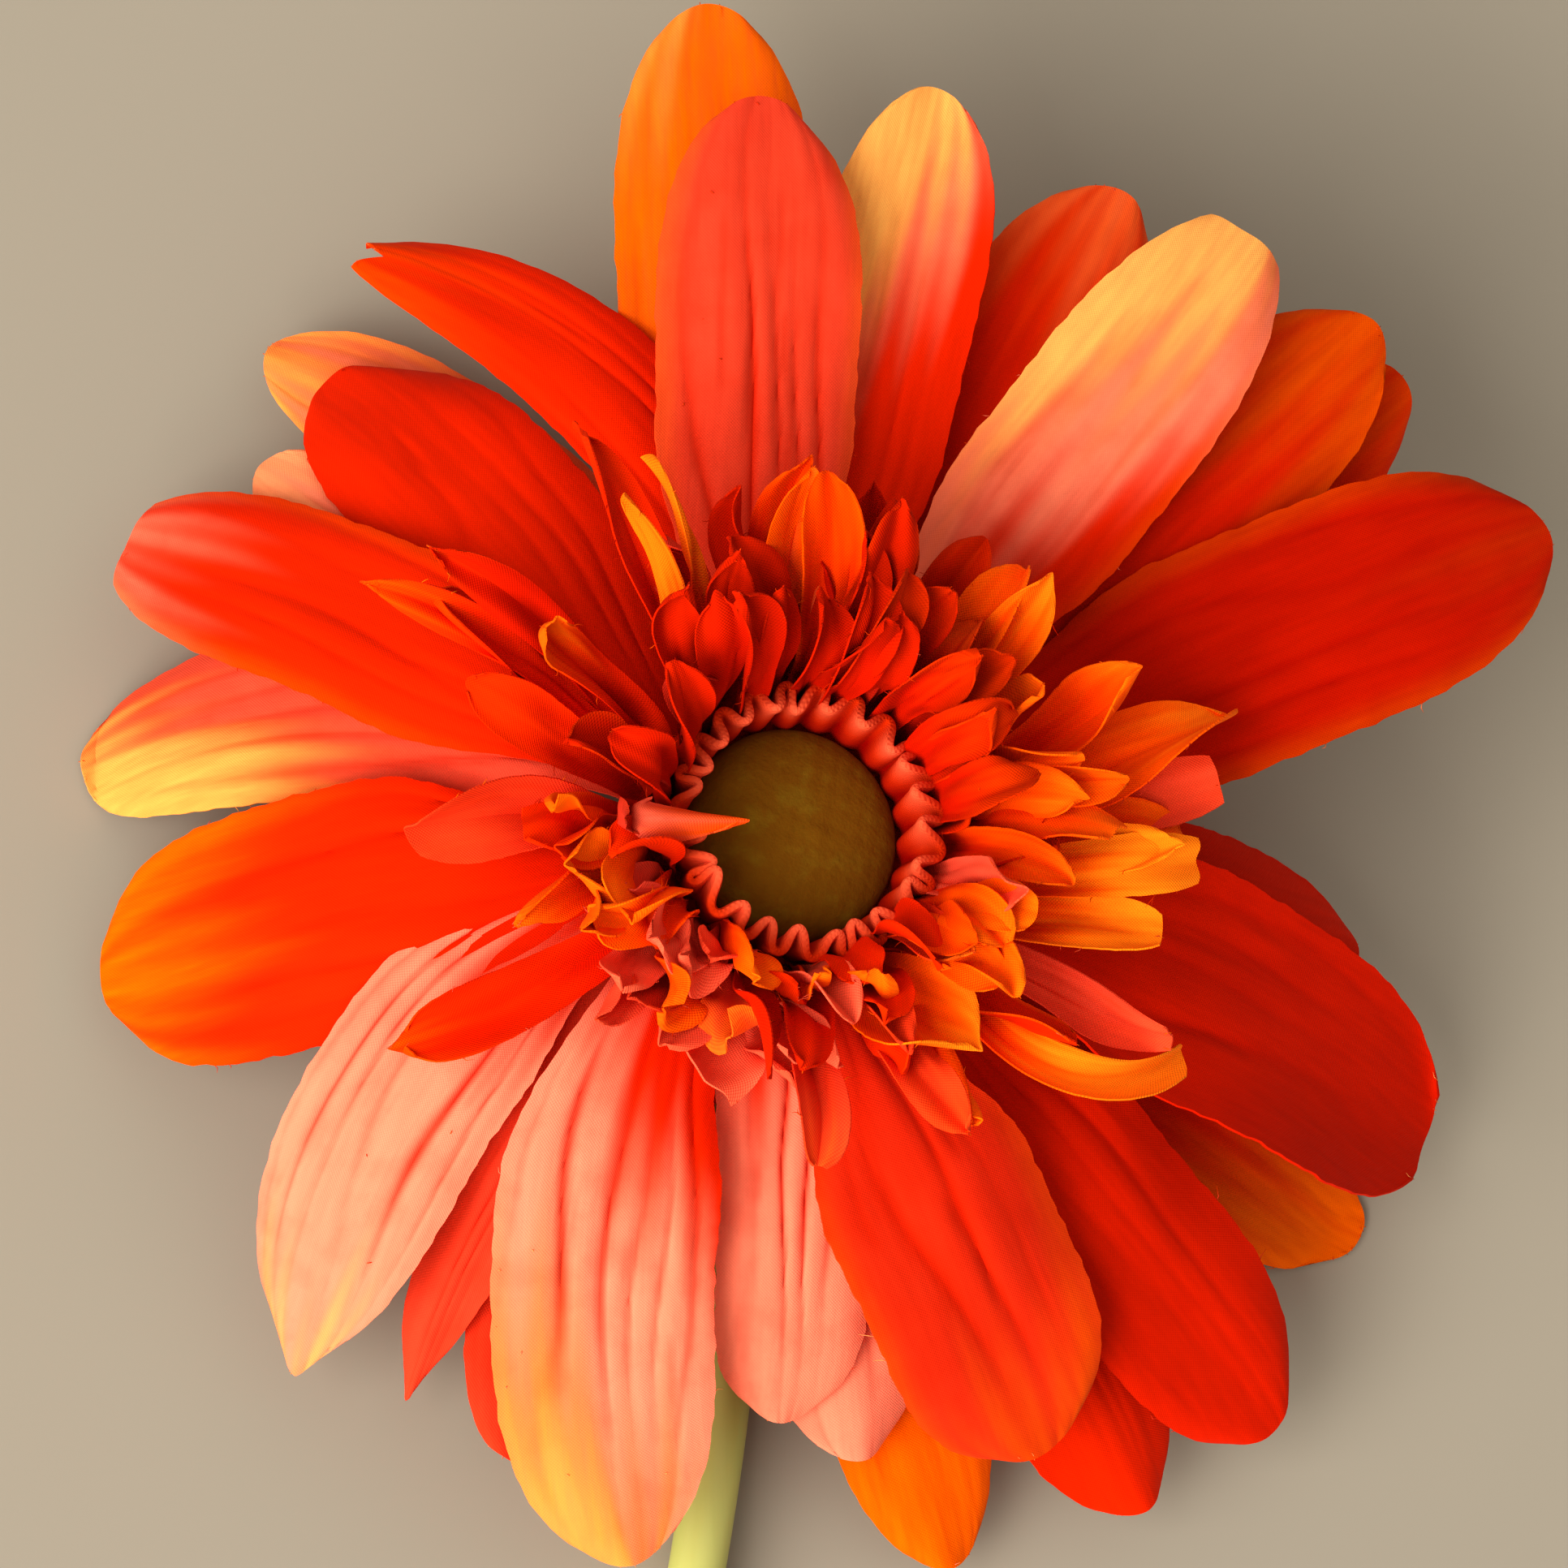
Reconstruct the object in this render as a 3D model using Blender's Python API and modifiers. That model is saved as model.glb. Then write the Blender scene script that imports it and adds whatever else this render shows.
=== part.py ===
# Gerbera daisy made of cloth, lying face up, with its stem bent under the bloom and along the surface.
# Lengths are in millimetres and angles in degrees until a mesh is made, which is then in metres.
# A heading is read clockwise from +Y, seen from above.

import math
import random

import bpy
import bmesh
from mathutils import Matrix, Vector
from mathutils.geometry import interpolate_bezier

MM = 0.001
GAP = 0.3                   # clearance between pieces that touch

# Stem
STEM_RADIUS = 2.25
STEM_TOP = 11.7             # height of the end that sits in the calyx
BEND_RADIUS = 8.5           # the quarter turn under the bloom
STEM_SIDES = 12
BORE_RADIUS = 1.15
BORE_START = 4              # the point of the stem's route, inside the bend, where the bore starts
WIRE_RADIUS = 0.85
BORE_SIDES = 8

# Calyx
CALYX_BOTTOM = 8.5
CALYX_TOP = 16.5
CALYX_RADIUS = 8.2
CALYX_RIM = 0.8             # height of its upright edge
CALYX_WEB = 0.9             # thickness between the stem's socket and the peg's
CALYX_FUNNEL = 2.0          # height over which the stem's socket widens to its mouth
BRACTS = 8                  # in each row
BRACT_ROWS = [(9.1, 14.9, 10.6), (8.3, 12.6, 9.6)]     # tip radius, tip height, root height
BRACT_ROOT = 3.9            # radius at which a bract starts, inside the cup
BRACT_FOOT = 4.6            # radius at which it leaves the cup

# Stack of die-cut layers
HUB_THICKNESS = 1.0
HUB_SIDES = 24
PEG_RADIUS = 2.3
RAY_HUB_RADIUS = 11.0
RAY_ROOT = 6.0              # radius at which a petal starts, inside its hub
CLOTH = 0.7                 # thickness of a petal or floret
SPINE_HOLD = 0.38           # length of a spine's curve handles, as a share of its chord
ROW_EASE = 1.3              # above 1, rows lie closer towards the tip
RAY_GRID = (7, 4)           # rows and columns of faces on a petal
FLORET_GRID = (5, 2)
BRACT_GRID = (3, 2)
COLLAR_ROOT = 3.0           # how far a floret reaches into its hub
LAYERS = ["rays_bottom", "rays_lower", "rays_middle", "rays_upper",
          "collar_outer", "collar_middle", "collar_inner"]

# Disc and the crimped ring round it
DISC_RADIUS = 8.05
DISC_EDGE = 1.2             # height of its upright edge
DISC_DOME = 3.2             # height of its middle
DISC_SIDES = 32
RING_BASE = 8.75            # radius of the ring's foot
RING_FLARE = 1.15
RING_HEIGHT = 6.6
RING_TEETH = 22
RING_CRIMP = 0.45           # how far the teeth stand in and out
RING_GRID = (2, 4)          # rows of faces up the ring, and columns on each tooth


def level(index):
    """Height of the middle of a layer's hub."""
    return CALYX_TOP + GAP + index * (HUB_THICKNESS + GAP) + HUB_THICKNESS / 2


STACK_TOP = level(len(LAYERS) - 1) + HUB_THICKNESS / 2 + GAP


def ray(heading, reach, height, width=15.5, rise=6, fall=-12, **more):
    """A ray petal, by where its tip is and the slopes at which it starts and ends."""
    petal = dict(heading=heading, reach=reach, height=height, width=width, rise=rise, fall=fall,
                 sway=0, roll=0, channel=-0.9, ridge=0.35, wave=0.5, claw=0.28, belly=0.46,
                 shoulder=0.62, blunt=0.4, tip="round")
    petal.update(more)
    return petal


RAYS = {
    "rays_upper": [
        ray(359, 58.5, 30, 16.5, 16, -6, sway=-4),
        ray(38, 62, 31, 15.5, 16, -10, tip="square"),
        ray(67, 68.5, 28, 18.5, 14, -8),
        ray(108, 61, 6, 19.5, 8, -38, sway=-4, channel=1.6),
        ray(156, 51, 14, 19.5, 11, -32),
        ray(190, 55, 10, 17.5, 8, -30, sway=28),
        ray(222, 52.5, 6, 15, 6, -42, tip="point", sway=31),
        ray(261, 50, 3, 19.5, 8, -50, sway=2),
        ray(300, 54.5, 6, 15, 10, -46),
    ],
    "rays_middle": [
        ray(13, 62.5, 27, 13.5, 8, -2, channel=0.8, roll=-4),
        ray(49, 66, 27, 15.5, 10, -6),
        ray(95, 52, 10, 15, 2, -30),
        ray(134, 61, 7, 16.5, -3, -32),
        ray(169, 46.5, 11, 13, 2, -34),
        ray(216, 47, 3.5, 10, 0, -42, tip="point", sway=6),
        ray(281, 51, -1.5, 15, 3, -60, sway=19),
        ray(328, 57.5, 16, 12, 8, -28, tip="fork", sway=22),
    ],
    "rays_lower": [
        ray(29, 62, 24, 16, 4, -2),
        ray(145, 59, 5, 15.5, -6, -26),
        ray(178, 42.5, 10, 13, -4, -16),
        ray(323, 51, 7, 17, 2, -42),
    ],
    "rays_bottom": [
        ray(357, 68, 24, 17, 0, 4),
        ray(53, 67, 22.5, 15.5, 0, 0),
        ray(115, 60, -1.0, 15.5, -6, -30),
        ray(161, 56, 3.5, 14.5, -14, -18, sway=2),
        ray(195, 54, 6.3, 14, -16, -2, sway=12),
        ray(307, 44, 5, 11, -8, -30),
        ray(325, 52, 2.5, 12, -16, -20, sway=12),
    ],
}


def floret(heading, reach, height, width=4.6, **more):
    """A collar floret, by where its tip is."""
    blade = dict(heading=heading, reach=reach, height=height, width=width, rise=62, fall=10,
                 sway=0, roll=0, channel=0.5, ridge=0, wave=0.3, claw=0.5, belly=0.85,
                 shoulder=0.8, blunt=0.5, tip="round")
    blade.update(more)
    return blade


# The florets that stand out, each in its ring; the ring's rule fills the places between them.
LONG_FLORETS = {
    "collar_outer": [
        floret(4, 30, 37, 5.2), floret(18, 25, 38), floret(42, 26.5, 36), floret(57, 31, 35),
        floret(69, 35.5, 35, 5.5), floret(84, 34.5, 33, 5), floret(95, 30, 35, 4.4),
        floret(120, 33.5, 31, 5), floret(148, 28, 30), floret(198, 22.5, 29), floret(228, 24.5, 32),
        floret(241, 33, 23, 7.5, fall=-30), floret(256, 24, 33), floret(273, 30.5, 30, 6),
        floret(299, 34, 31, 6), floret(310, 36, 33), floret(327, 35.5, 35, 5.5), floret(352, 28.5, 37, 5.2),
    ],
    "collar_middle": [
        floret(26, 20.5, 39), floret(54, 21, 39), floret(66, 21, 39), floret(81, 20.5, 39),
        floret(113, 24, 36, 4.2), floret(130, 20.5, 38), floret(145, 18.5, 37), floret(231, 20.5, 37),
        floret(254, 20, 37), floret(272, 21, 38), floret(292, 20.5, 38), floret(307, 25, 39),
        floret(320, 21.5, 40), floret(334, 22, 41),
    ],
    "collar_inner": [
        floret(1, 15, 42), floret(39, 16, 42), floret(113, 16.5, 41), floret(164, 15.5, 38),
        floret(180, 14.5, 38), floret(195, 14.2, 37), floret(219, 15.2, 38), floret(343, 16.5, 42),
    ],
}

COLLARS = {
    "collar_outer": dict(count=18, hub=11.2, reach=(22, 27), height=(30, 35), rise=48, fall=6,
                         roll=34, seed=5),
    "collar_middle": dict(count=18, hub=10.3, reach=(18, 21), height=(36, 40), rise=60, fall=30,
                          roll=22, seed=8),
    "collar_inner": dict(count=16, hub=9.4, reach=(14.2, 16.5), height=(38, 42), rise=68, fall=58,
                         roll=16, seed=13),
}


def smooth(start, end, value):
    t = min(1.0, max(0.0, (value - start) / (end - start)))
    return t * t * (3 - 2 * t)


def mix(pair, t):
    return pair[0] + (pair[1] - pair[0]) * t


def metres(x, y, z):
    return Vector((x, y, z)) * MM


# Objects, modifiers and materials

def new_collection(name):
    collection = bpy.data.collections.new(name)
    bpy.context.scene.collection.children.link(collection)
    return collection


def add_object(name, mesh, collection):
    obj = bpy.data.objects.new(name, mesh)
    collection.objects.link(obj)
    return obj


def mesh_from(bm, name):
    mesh = bpy.data.meshes.new(name)
    bm.to_mesh(mesh)
    bm.free()
    return mesh


def apply_modifiers(obj):
    bpy.context.view_layer.update()
    evaluated = obj.evaluated_get(bpy.context.evaluated_depsgraph_get())
    mesh = bpy.data.meshes.new_from_object(evaluated)
    obj.modifiers.clear()
    obj.data = mesh


def remove_objects(objects):
    for obj in list(objects):
        bpy.data.objects.remove(obj, do_unlink=True)


def colour(red, green, blue):
    """A linear colour from a screen colour of 0 to 255."""
    def linear(channel):
        c = channel / 255
        return c / 12.92 if c <= 0.04045 else ((c + 0.055) / 1.055) ** 2.4
    return linear(red), linear(green), linear(blue), 1.0


def add_material(obj, name, base, roughness, metallic=0.0):
    material = bpy.data.materials.new(name)
    material.use_nodes = True
    shader = material.node_tree.nodes["Principled BSDF"]
    shader.inputs["Base Color"].default_value = base
    shader.inputs["Roughness"].default_value = roughness
    shader.inputs["Metallic"].default_value = metallic
    material.diffuse_color = base
    obj.data.materials.clear()
    obj.data.materials.append(material)


def turned(name, profile, sides, collection, closed=False):
    """A turned solid from (radius, height) points that run down its outer side."""
    bm = bmesh.new()
    verts = [bm.verts.new(metres(radius, 0, height)) for radius, height in profile]
    for first, second in zip(verts, verts[1:]):
        bm.edges.new((first, second))
    if closed:
        bm.edges.new((verts[-1], verts[0]))
    obj = add_object(name, mesh_from(bm, name), collection)
    screw = obj.modifiers.new("turn", "SCREW")
    screw.axis = "Z"
    screw.angle = math.tau
    screw.steps = sides
    screw.render_steps = sides
    screw.use_merge_vertices = True
    screw.merge_threshold = 0.00001
    apply_modifiers(obj)
    return obj


def tube(name, route, radius, sides, collection):
    """A closed mesh tube along a route."""
    curve = bpy.data.curves.new(name + "_curve", "CURVE")
    curve.dimensions = "3D"
    spline = curve.splines.new("POLY")
    spline.points.add(len(route) - 1)
    for point, place in zip(spline.points, route):
        point.co = (*(place * MM), 1.0)
    curve.bevel_depth = radius * MM
    curve.bevel_resolution = sides // 2 - 2
    curve.use_fill_caps = True
    source = add_object(name + "_curve", curve, collection)
    bpy.context.view_layer.update()
    evaluated = source.evaluated_get(bpy.context.evaluated_depsgraph_get())
    bm = bmesh.new()
    bm.from_mesh(bpy.data.meshes.new_from_object(evaluated))
    bmesh.ops.remove_doubles(bm, verts=bm.verts, dist=0.00001)
    obj = add_object(name, mesh_from(bm, name), collection)
    obj.matrix_world = source.matrix_world
    bpy.data.objects.remove(source, do_unlink=True)
    return obj


# Petals and florets

def spine(blade, middle, root, hub_radius, t):
    """Place down the middle of a blade: t is below 0 in the hub, and 0 to 1 from its edge to the tip."""
    tip = Vector((blade["reach"], blade["height"]))
    start = Vector((hub_radius, middle))
    if t < 0:
        radius, height = hub_radius + t * (hub_radius - root), middle
    else:
        hold = (tip - start).length * SPINE_HOLD
        rise, fall = math.radians(blade["rise"]), math.radians(blade["fall"])
        leave = start + Vector((math.cos(rise), math.sin(rise))) * hold
        arrive = tip - Vector((math.cos(fall), math.sin(fall))) * hold
        s = 1 - t
        radius, height = (start * s ** 3 + leave * 3 * s * s * t + arrive * 3 * s * t * t + tip * t ** 3)
    heading = math.radians(blade["heading"] + blade["sway"] * (1 - max(t, 0)))
    return Vector((radius * math.sin(heading), radius * math.cos(heading), height))


def tip_cut(blade, v):
    """How much shorter the blade is across its tip, as a share of its length."""
    if blade["tip"] == "fork":
        return 0.09 * (1 - abs(v)) ** 2
    if blade["tip"] == "point":
        return 0.1 * abs(v)
    if blade["tip"] == "square":
        return 0.02 * v * v
    return 0.06 * v * v


def half_width(blade, u):
    wide = blade["claw"] + (1 - blade["claw"]) * smooth(0, blade["belly"], u)
    beyond = max(0.0, (u - blade["shoulder"]) / (1 - blade["shoulder"]))
    return blade["width"] / 2 * wide * math.sqrt(1 - beyond ** 2 * (1 - blade["blunt"] ** 2))


def blade_sheet(blade, middle, root, hub_radius, grid):
    """An open triangle sheet: the first row lies in the hub, the others follow the spine."""
    rows, columns = grid
    step = 0.02             # how far along the spine its direction is read
    bm = bmesh.new()
    bmesh.ops.create_grid(bm, x_segments=columns, y_segments=rows, size=1)
    for vert in bm.verts:
        v, row = vert.co.x, round((vert.co.y + 1) / 2 * rows)
        t = -1.0 if row == 0 else 1 - (1 - (row - 1) / (rows - 1)) ** ROW_EASE
        u = max(t, 0.0)
        along = t if t <= 0 else t * (1 - tip_cut(blade, v))
        place = spine(blade, middle, root, hub_radius, along)
        ahead = spine(blade, middle, root, hub_radius, along + step)
        behind = spine(blade, middle, root, hub_radius, along - step if along > step else along)
        tangent = (ahead - behind).normalized()
        heading = math.radians(blade["heading"] + blade["sway"] * (1 - u))
        side = Vector((math.cos(heading), -math.sin(heading), 0))
        face = side.cross(tangent).normalized()
        side = tangent.cross(face)
        turn = Matrix.Rotation(math.radians(blade["roll"]) * smooth(0, 1, u), 3, tangent)
        side, face = turn @ side, turn @ face
        free = smooth(0, 0.3, u)
        lift = blade["channel"] * v * v * free
        lift += blade["ridge"] * math.cos(2 * math.pi * v) * free * (1 - smooth(0.8, 1, u))
        lift += blade["wave"] * math.sin(9 * u + blade["heading"]) * v * abs(v) * free
        place = place + side * (half_width(blade, u) * v) + face * lift
        place.z = max(place.z, CLOTH / 2)
        vert.co = place * MM
    bmesh.ops.triangulate(bm, faces=bm.faces[:], quad_method="SHORT_EDGE")
    return mesh_from(bm, "sheet")


def fuse_blades(body, sheets):
    """Gives each sheet its thickness and joins them all to the body, as one solid."""
    pieces = new_collection("blades")
    for sheet in sheets:
        piece = add_object("blade", sheet, pieces)
        solidify = piece.modifiers.new("cloth", "SOLIDIFY")
        solidify.thickness = CLOTH * MM
        solidify.offset = 0
        apply_modifiers(piece)
    union = body.modifiers.new("join", "BOOLEAN")
    union.operation = "UNION"
    union.operand_type = "COLLECTION"
    union.collection = pieces
    union.solver = "MANIFOLD"
    apply_modifiers(body)
    remove_objects(pieces.objects)
    bpy.data.collections.remove(pieces)


def join_layer(name, blades, hub_radius, root, grid, collection):
    """One die-cut layer: a hub ring and its blades, made one solid."""
    middle = level(LAYERS.index(name))
    hole = PEG_RADIUS + GAP
    low, high = middle - HUB_THICKNESS / 2, middle + HUB_THICKNESS / 2
    profile = [(hub_radius, high), (hub_radius, low), (hole, low), (hole, high)]
    hub = turned(name, profile, HUB_SIDES, collection, closed=True)
    fuse_blades(hub, [blade_sheet(blade, middle, root, hub_radius, grid) for blade in blades])
    return hub


def collar_blades(name):
    """A collar's florets: evenly spaced with seeded differences, the long ones at their own headings."""
    ring = COLLARS[name]
    draw = random.Random(ring["seed"])
    step = 360 / ring["count"]
    blades = []
    for index in range(ring["count"]):
        blade = floret(index * step + draw.uniform(-3, 3), mix(ring["reach"], draw.random()),
                       mix(ring["height"], draw.random()), draw.uniform(4.0, 4.8))
        blades.append(blade)
    for long_one in LONG_FLORETS[name]:
        blades[round(long_one["heading"] / step) % ring["count"]] = dict(long_one)
    for blade in blades:
        blade["rise"] = ring["rise"] + draw.uniform(-3, 3)
        if blade["fall"] == 10:
            blade["fall"] = ring["fall"] + draw.uniform(-12, 12)
        blade["sway"] = draw.uniform(-3, 3)
        blade["roll"] = draw.uniform(-ring["roll"], ring["roll"])
        blade["tip"] = draw.choice(["round", "square", "point"])
    return blades


# The pieces

def stem_route():
    """The stem's middle line, from the calyx down, round the bend and along the surface."""
    low = STEM_RADIUS
    turn_top = low + BEND_RADIUS
    grip = BEND_RADIUS * 0.55
    corners = [
        (Vector((0, 0, turn_top)), Vector((0, 0, turn_top - grip))),
        (Vector((0, -BEND_RADIUS, low)), Vector((0, -BEND_RADIUS - 12, low))),
        (Vector((0, -40, low)), Vector((-1.5, -50, low))),
        (Vector((-9, -80, low)), Vector((-14, -98, low))),
        (Vector((-24, -135, low)), Vector((-28, -152, low))),
        (Vector((-31, -184, low)), None),
    ]
    arrivals = [Vector((0, -BEND_RADIUS + grip, low)), Vector((0.6, -32, low)), Vector((-5, -66, low)),
                Vector((-20, -118, low)), Vector((-31, -170, low))]
    counts = [8, 4, 5, 6, 6]
    points = [Vector((0, 0, STEM_TOP)), Vector((0, 0, turn_top))]
    for (start, leave), (end, _), arrive, count in zip(corners, corners[1:], arrivals, counts):
        points += interpolate_bezier(start, leave, arrive, end, count)[1:]
    return points


def build_stem(parts, cutters):
    route = stem_route()
    stem = tube("stem", route, STEM_RADIUS, STEM_SIDES, parts)
    past_end = route[-1] + (route[-1] - route[-2]).normalized()
    bore = tube("stem_bore", route[BORE_START:] + [past_end], BORE_RADIUS, BORE_SIDES, cutters)
    cut = stem.modifiers.new("bore", "BOOLEAN")
    cut.operation = "DIFFERENCE"
    cut.object = bore
    apply_modifiers(stem)
    add_material(stem, "green_plastic", colour(176, 176, 84), 0.38)

    wire_route = route[BORE_START:]
    wire_route[0] = wire_route[0] + (wire_route[1] - wire_route[0]).normalized() * GAP
    wire = tube("wire_core", wire_route, WIRE_RADIUS, BORE_SIDES, parts)
    add_material(wire, "steel_wire", colour(150, 150, 148), 0.35, 1.0)
    return bore


def build_calyx(parts):
    grip = STEM_RADIUS + GAP
    mouth = grip + 0.8      # wider below, where the stem starts to bend
    socket_floor = STEM_TOP + GAP
    peg_floor = socket_floor + CALYX_WEB
    peg_hole = PEG_RADIUS + GAP
    profile = [
        (0, peg_floor), (peg_hole, peg_floor), (peg_hole, CALYX_TOP),
        (CALYX_RADIUS, CALYX_TOP), (CALYX_RADIUS, CALYX_TOP - CALYX_RIM),
        (7.6, 14.2), (6.6, 12.2), (5.3, 10.4), (4.4, 9.2), (4.0, CALYX_BOTTOM),
        (mouth, CALYX_BOTTOM), (grip, CALYX_BOTTOM + CALYX_FUNNEL), (grip, socket_floor),
        (0, socket_floor),
    ]
    calyx = turned("calyx", profile, HUB_SIDES, parts)
    sheets = []
    for row, (reach, height, root_height) in enumerate(BRACT_ROWS):
        for index in range(BRACTS):
            heading = (index + row / 2) * 360 / BRACTS
            bract = ray(heading, reach, height, 4.0, rise=34, fall=62, channel=-0.5, ridge=0, wave=0,
                        claw=0.8, belly=0.3, shoulder=0.35, blunt=0.25, tip="point")
            sheets.append(blade_sheet(bract, root_height, BRACT_ROOT, BRACT_FOOT, BRACT_GRID))
    fuse_blades(calyx, sheets)
    add_material(calyx, "green_calyx", colour(120, 138, 60), 0.5)


def build_bead_ring(parts):
    """A crimped strip round the disc: straight at its foot, in small teeth at its top."""
    rows, columns = RING_GRID[0], RING_GRID[1] * RING_TEETH
    bm = bmesh.new()
    bmesh.ops.create_grid(bm, x_segments=columns, y_segments=rows, size=1)
    foot = STACK_TOP
    for vert in bm.verts:
        angle = (vert.co.x + 1) * math.pi
        up = (vert.co.y + 1) / 2
        tooth = math.cos(RING_TEETH * angle)
        radius = RING_BASE + RING_FLARE * up ** 1.5 + RING_CRIMP * tooth * up
        height = foot + RING_HEIGHT * up * (1 + 0.06 * math.cos(3 * angle + 1) * up)
        height += 0.35 * math.cos(2 * RING_TEETH * angle) * smooth(0.7, 1, up)
        vert.co = metres(radius * math.sin(angle), radius * math.cos(angle), height)
    bmesh.ops.remove_doubles(bm, verts=bm.verts, dist=0.00001)
    bmesh.ops.triangulate(bm, faces=bm.faces[:], quad_method="SHORT_EDGE")
    ring = add_object("bead_ring", mesh_from(bm, "bead_ring"), parts)
    wall = ring.modifiers.new("wall", "SOLIDIFY")
    wall.thickness = CLOTH * MM
    wall.offset = 0
    apply_modifiers(ring)
    add_material(ring, "red_teeth", colour(214, 44, 14), 0.7)


def build_disc(parts):
    peg_end = STEM_TOP + GAP + CALYX_WEB + GAP
    foot = STACK_TOP
    profile = [
        (0, foot + DISC_DOME), (3.2, foot + DISC_DOME - 0.15), (5.8, foot + DISC_DOME - 0.6),
        (7.4, foot + DISC_EDGE + 0.8), (DISC_RADIUS, foot + DISC_EDGE), (DISC_RADIUS, foot),
        (PEG_RADIUS, foot), (PEG_RADIUS, peg_end), (0, peg_end),
    ]
    disc = turned("disc", profile, DISC_SIDES, parts)
    add_material(disc, "olive_brown", colour(96, 60, 8), 0.75)


def main():
    remove_objects(bpy.data.objects)
    parts = new_collection("gerbera_daisy")
    cutters = new_collection("cutters")

    bore = build_stem(parts, cutters)
    build_calyx(parts)
    for name, petals in RAYS.items():
        layer = join_layer(name, petals, RAY_HUB_RADIUS, RAY_ROOT, RAY_GRID, parts)
        add_material(layer, name + "_cloth", colour(226, 34, 8), 0.72)
    for name, ring in COLLARS.items():
        root = ring["hub"] - COLLAR_ROOT
        layer = join_layer(name, collar_blades(name), ring["hub"], root, FLORET_GRID, parts)
        add_material(layer, name + "_cloth", colour(236, 62, 16), 0.72)
    build_bead_ring(parts)
    build_disc(parts)

    bore.hide_render = True
    bore.display_type = "WIRE"

    # The origin goes to the middle of the whole object's footprint, at the surface it lies on.
    corners = [obj.matrix_world @ vert.co for obj in parts.objects for vert in obj.data.vertices]
    centre = [(min(c[axis] for c in corners) + max(c[axis] for c in corners)) / 2 for axis in (0, 1)]
    lowest = min(c.z for c in corners)
    for obj in list(parts.objects) + [bore]:
        obj.data.transform(Matrix.Translation((-centre[0], -centre[1], -lowest)))
    for obj in parts.objects:
        obj.data.shade_smooth()
        obj.data.set_sharp_from_angle(angle=math.radians(40))


main()
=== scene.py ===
import math
import random

import bpy
import numpy as np
from mathutils import Matrix, Vector


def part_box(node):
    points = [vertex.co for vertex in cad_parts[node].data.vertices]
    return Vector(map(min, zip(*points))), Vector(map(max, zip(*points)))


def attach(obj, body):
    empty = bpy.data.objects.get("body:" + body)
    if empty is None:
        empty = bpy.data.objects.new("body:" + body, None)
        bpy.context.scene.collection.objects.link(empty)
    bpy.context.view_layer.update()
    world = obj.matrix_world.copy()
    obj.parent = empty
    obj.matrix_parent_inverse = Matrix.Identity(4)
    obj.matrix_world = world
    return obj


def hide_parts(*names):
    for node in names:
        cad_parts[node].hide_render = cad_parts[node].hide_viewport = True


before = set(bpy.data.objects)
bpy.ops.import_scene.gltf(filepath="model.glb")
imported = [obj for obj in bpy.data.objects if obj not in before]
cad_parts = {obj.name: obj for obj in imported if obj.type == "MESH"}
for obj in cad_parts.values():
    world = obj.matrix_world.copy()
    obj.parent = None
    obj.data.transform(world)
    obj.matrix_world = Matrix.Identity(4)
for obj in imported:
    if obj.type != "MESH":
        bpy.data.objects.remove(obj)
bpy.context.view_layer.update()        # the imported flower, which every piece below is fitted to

# Lengths are in millimetres and angles in degrees until a mesh is written, which is in metres.
# A heading is read clockwise from +Y, seen from above, and heights are above the surface it lies on.
mm = 0.001
discLow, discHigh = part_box("disc")
axisX = (discLow.x + discHigh.x) / 2 / mm  # the bloom's middle line
axisY = (discLow.y + discHigh.y) / 2 / mm
discTop = discHigh.z / mm


# Shader maths

class Flow:  # a shader socket that can be added, multiplied and so on
    def __init__(self, tree, socket):
        self.tree, self.socket = tree, socket

    def add(self, kind, settings=None, values=None, out=0):
        node = self.tree.nodes.new(kind)
        for name, value in (settings or {}).items():
            setattr(node, name, value)
        for name, value in (values or {}).items():
            if isinstance(value, Flow):
                self.tree.links.new(value.socket, node.inputs[name])
            else:
                node.inputs[name].default_value = value
        return Flow(self.tree, node.outputs[out])

    def calc(self, operation, first, second=0.0):
        return self.add("ShaderNodeMath", {"operation": operation}, {0: first, 1: second})

    def __add__(self, other):
        return self.calc("ADD", self, other)

    __radd__ = __add__

    def __sub__(self, other):
        return self.calc("SUBTRACT", self, other)

    def __rsub__(self, other):
        return self.calc("SUBTRACT", other, self)

    def __mul__(self, other):
        return self.calc("MULTIPLY", self, other)

    __rmul__ = __mul__

    def sine(self):
        return self.calc("SINE", self)

    def limit(self):
        return self.add("ShaderNodeClamp", {}, {"Value": self})

    def part(self, index):  # one channel of a colour or vector
        return self.add("ShaderNodeSeparateXYZ", {}, {"Vector": self}, index)

    def mixed(self, factor, other):  # this colour turning into the other
        return self.add("ShaderNodeMix", {"data_type": "RGBA"}, {0: factor, 6: self, 7: other}, 2)

    def colour(self, shade):
        base = self.add("ShaderNodeRGB")
        base.socket.default_value = shade
        return base

    def stretched(self, scale):
        return self.add("ShaderNodeMapping", {}, {"Vector": self, "Scale": scale})

    def noise(self, scale, detail):
        return self.add("ShaderNodeTexNoise", {}, {"Vector": self, "Scale": scale, "Detail": detail})

    def bump(self, look):  # this height as a relief, in metres
        return self.add("ShaderNodeBump", {}, {
            "Height": self, "Strength": look["relief"], "Distance": look["reliefDepth"],
        })


def screen(red, green, blue):  # linear colour from a screen colour of 0 to 255
    def linear(channel):
        c = channel / 255
        return c / 12.92 if c <= 0.04045 else ((c + 0.055) / 1.055) ** 2.4
    return linear(red), linear(green), linear(blue), 1.0


steadySockets = dict(
    colour="Base Color", roughness="Roughness", metal="Metallic", shine="Specular IOR Level",
    shineColour="Specular Tint", sheen="Sheen Weight", sheenRoughness="Sheen Roughness",
    sheenColour="Sheen Tint",
)


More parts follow.
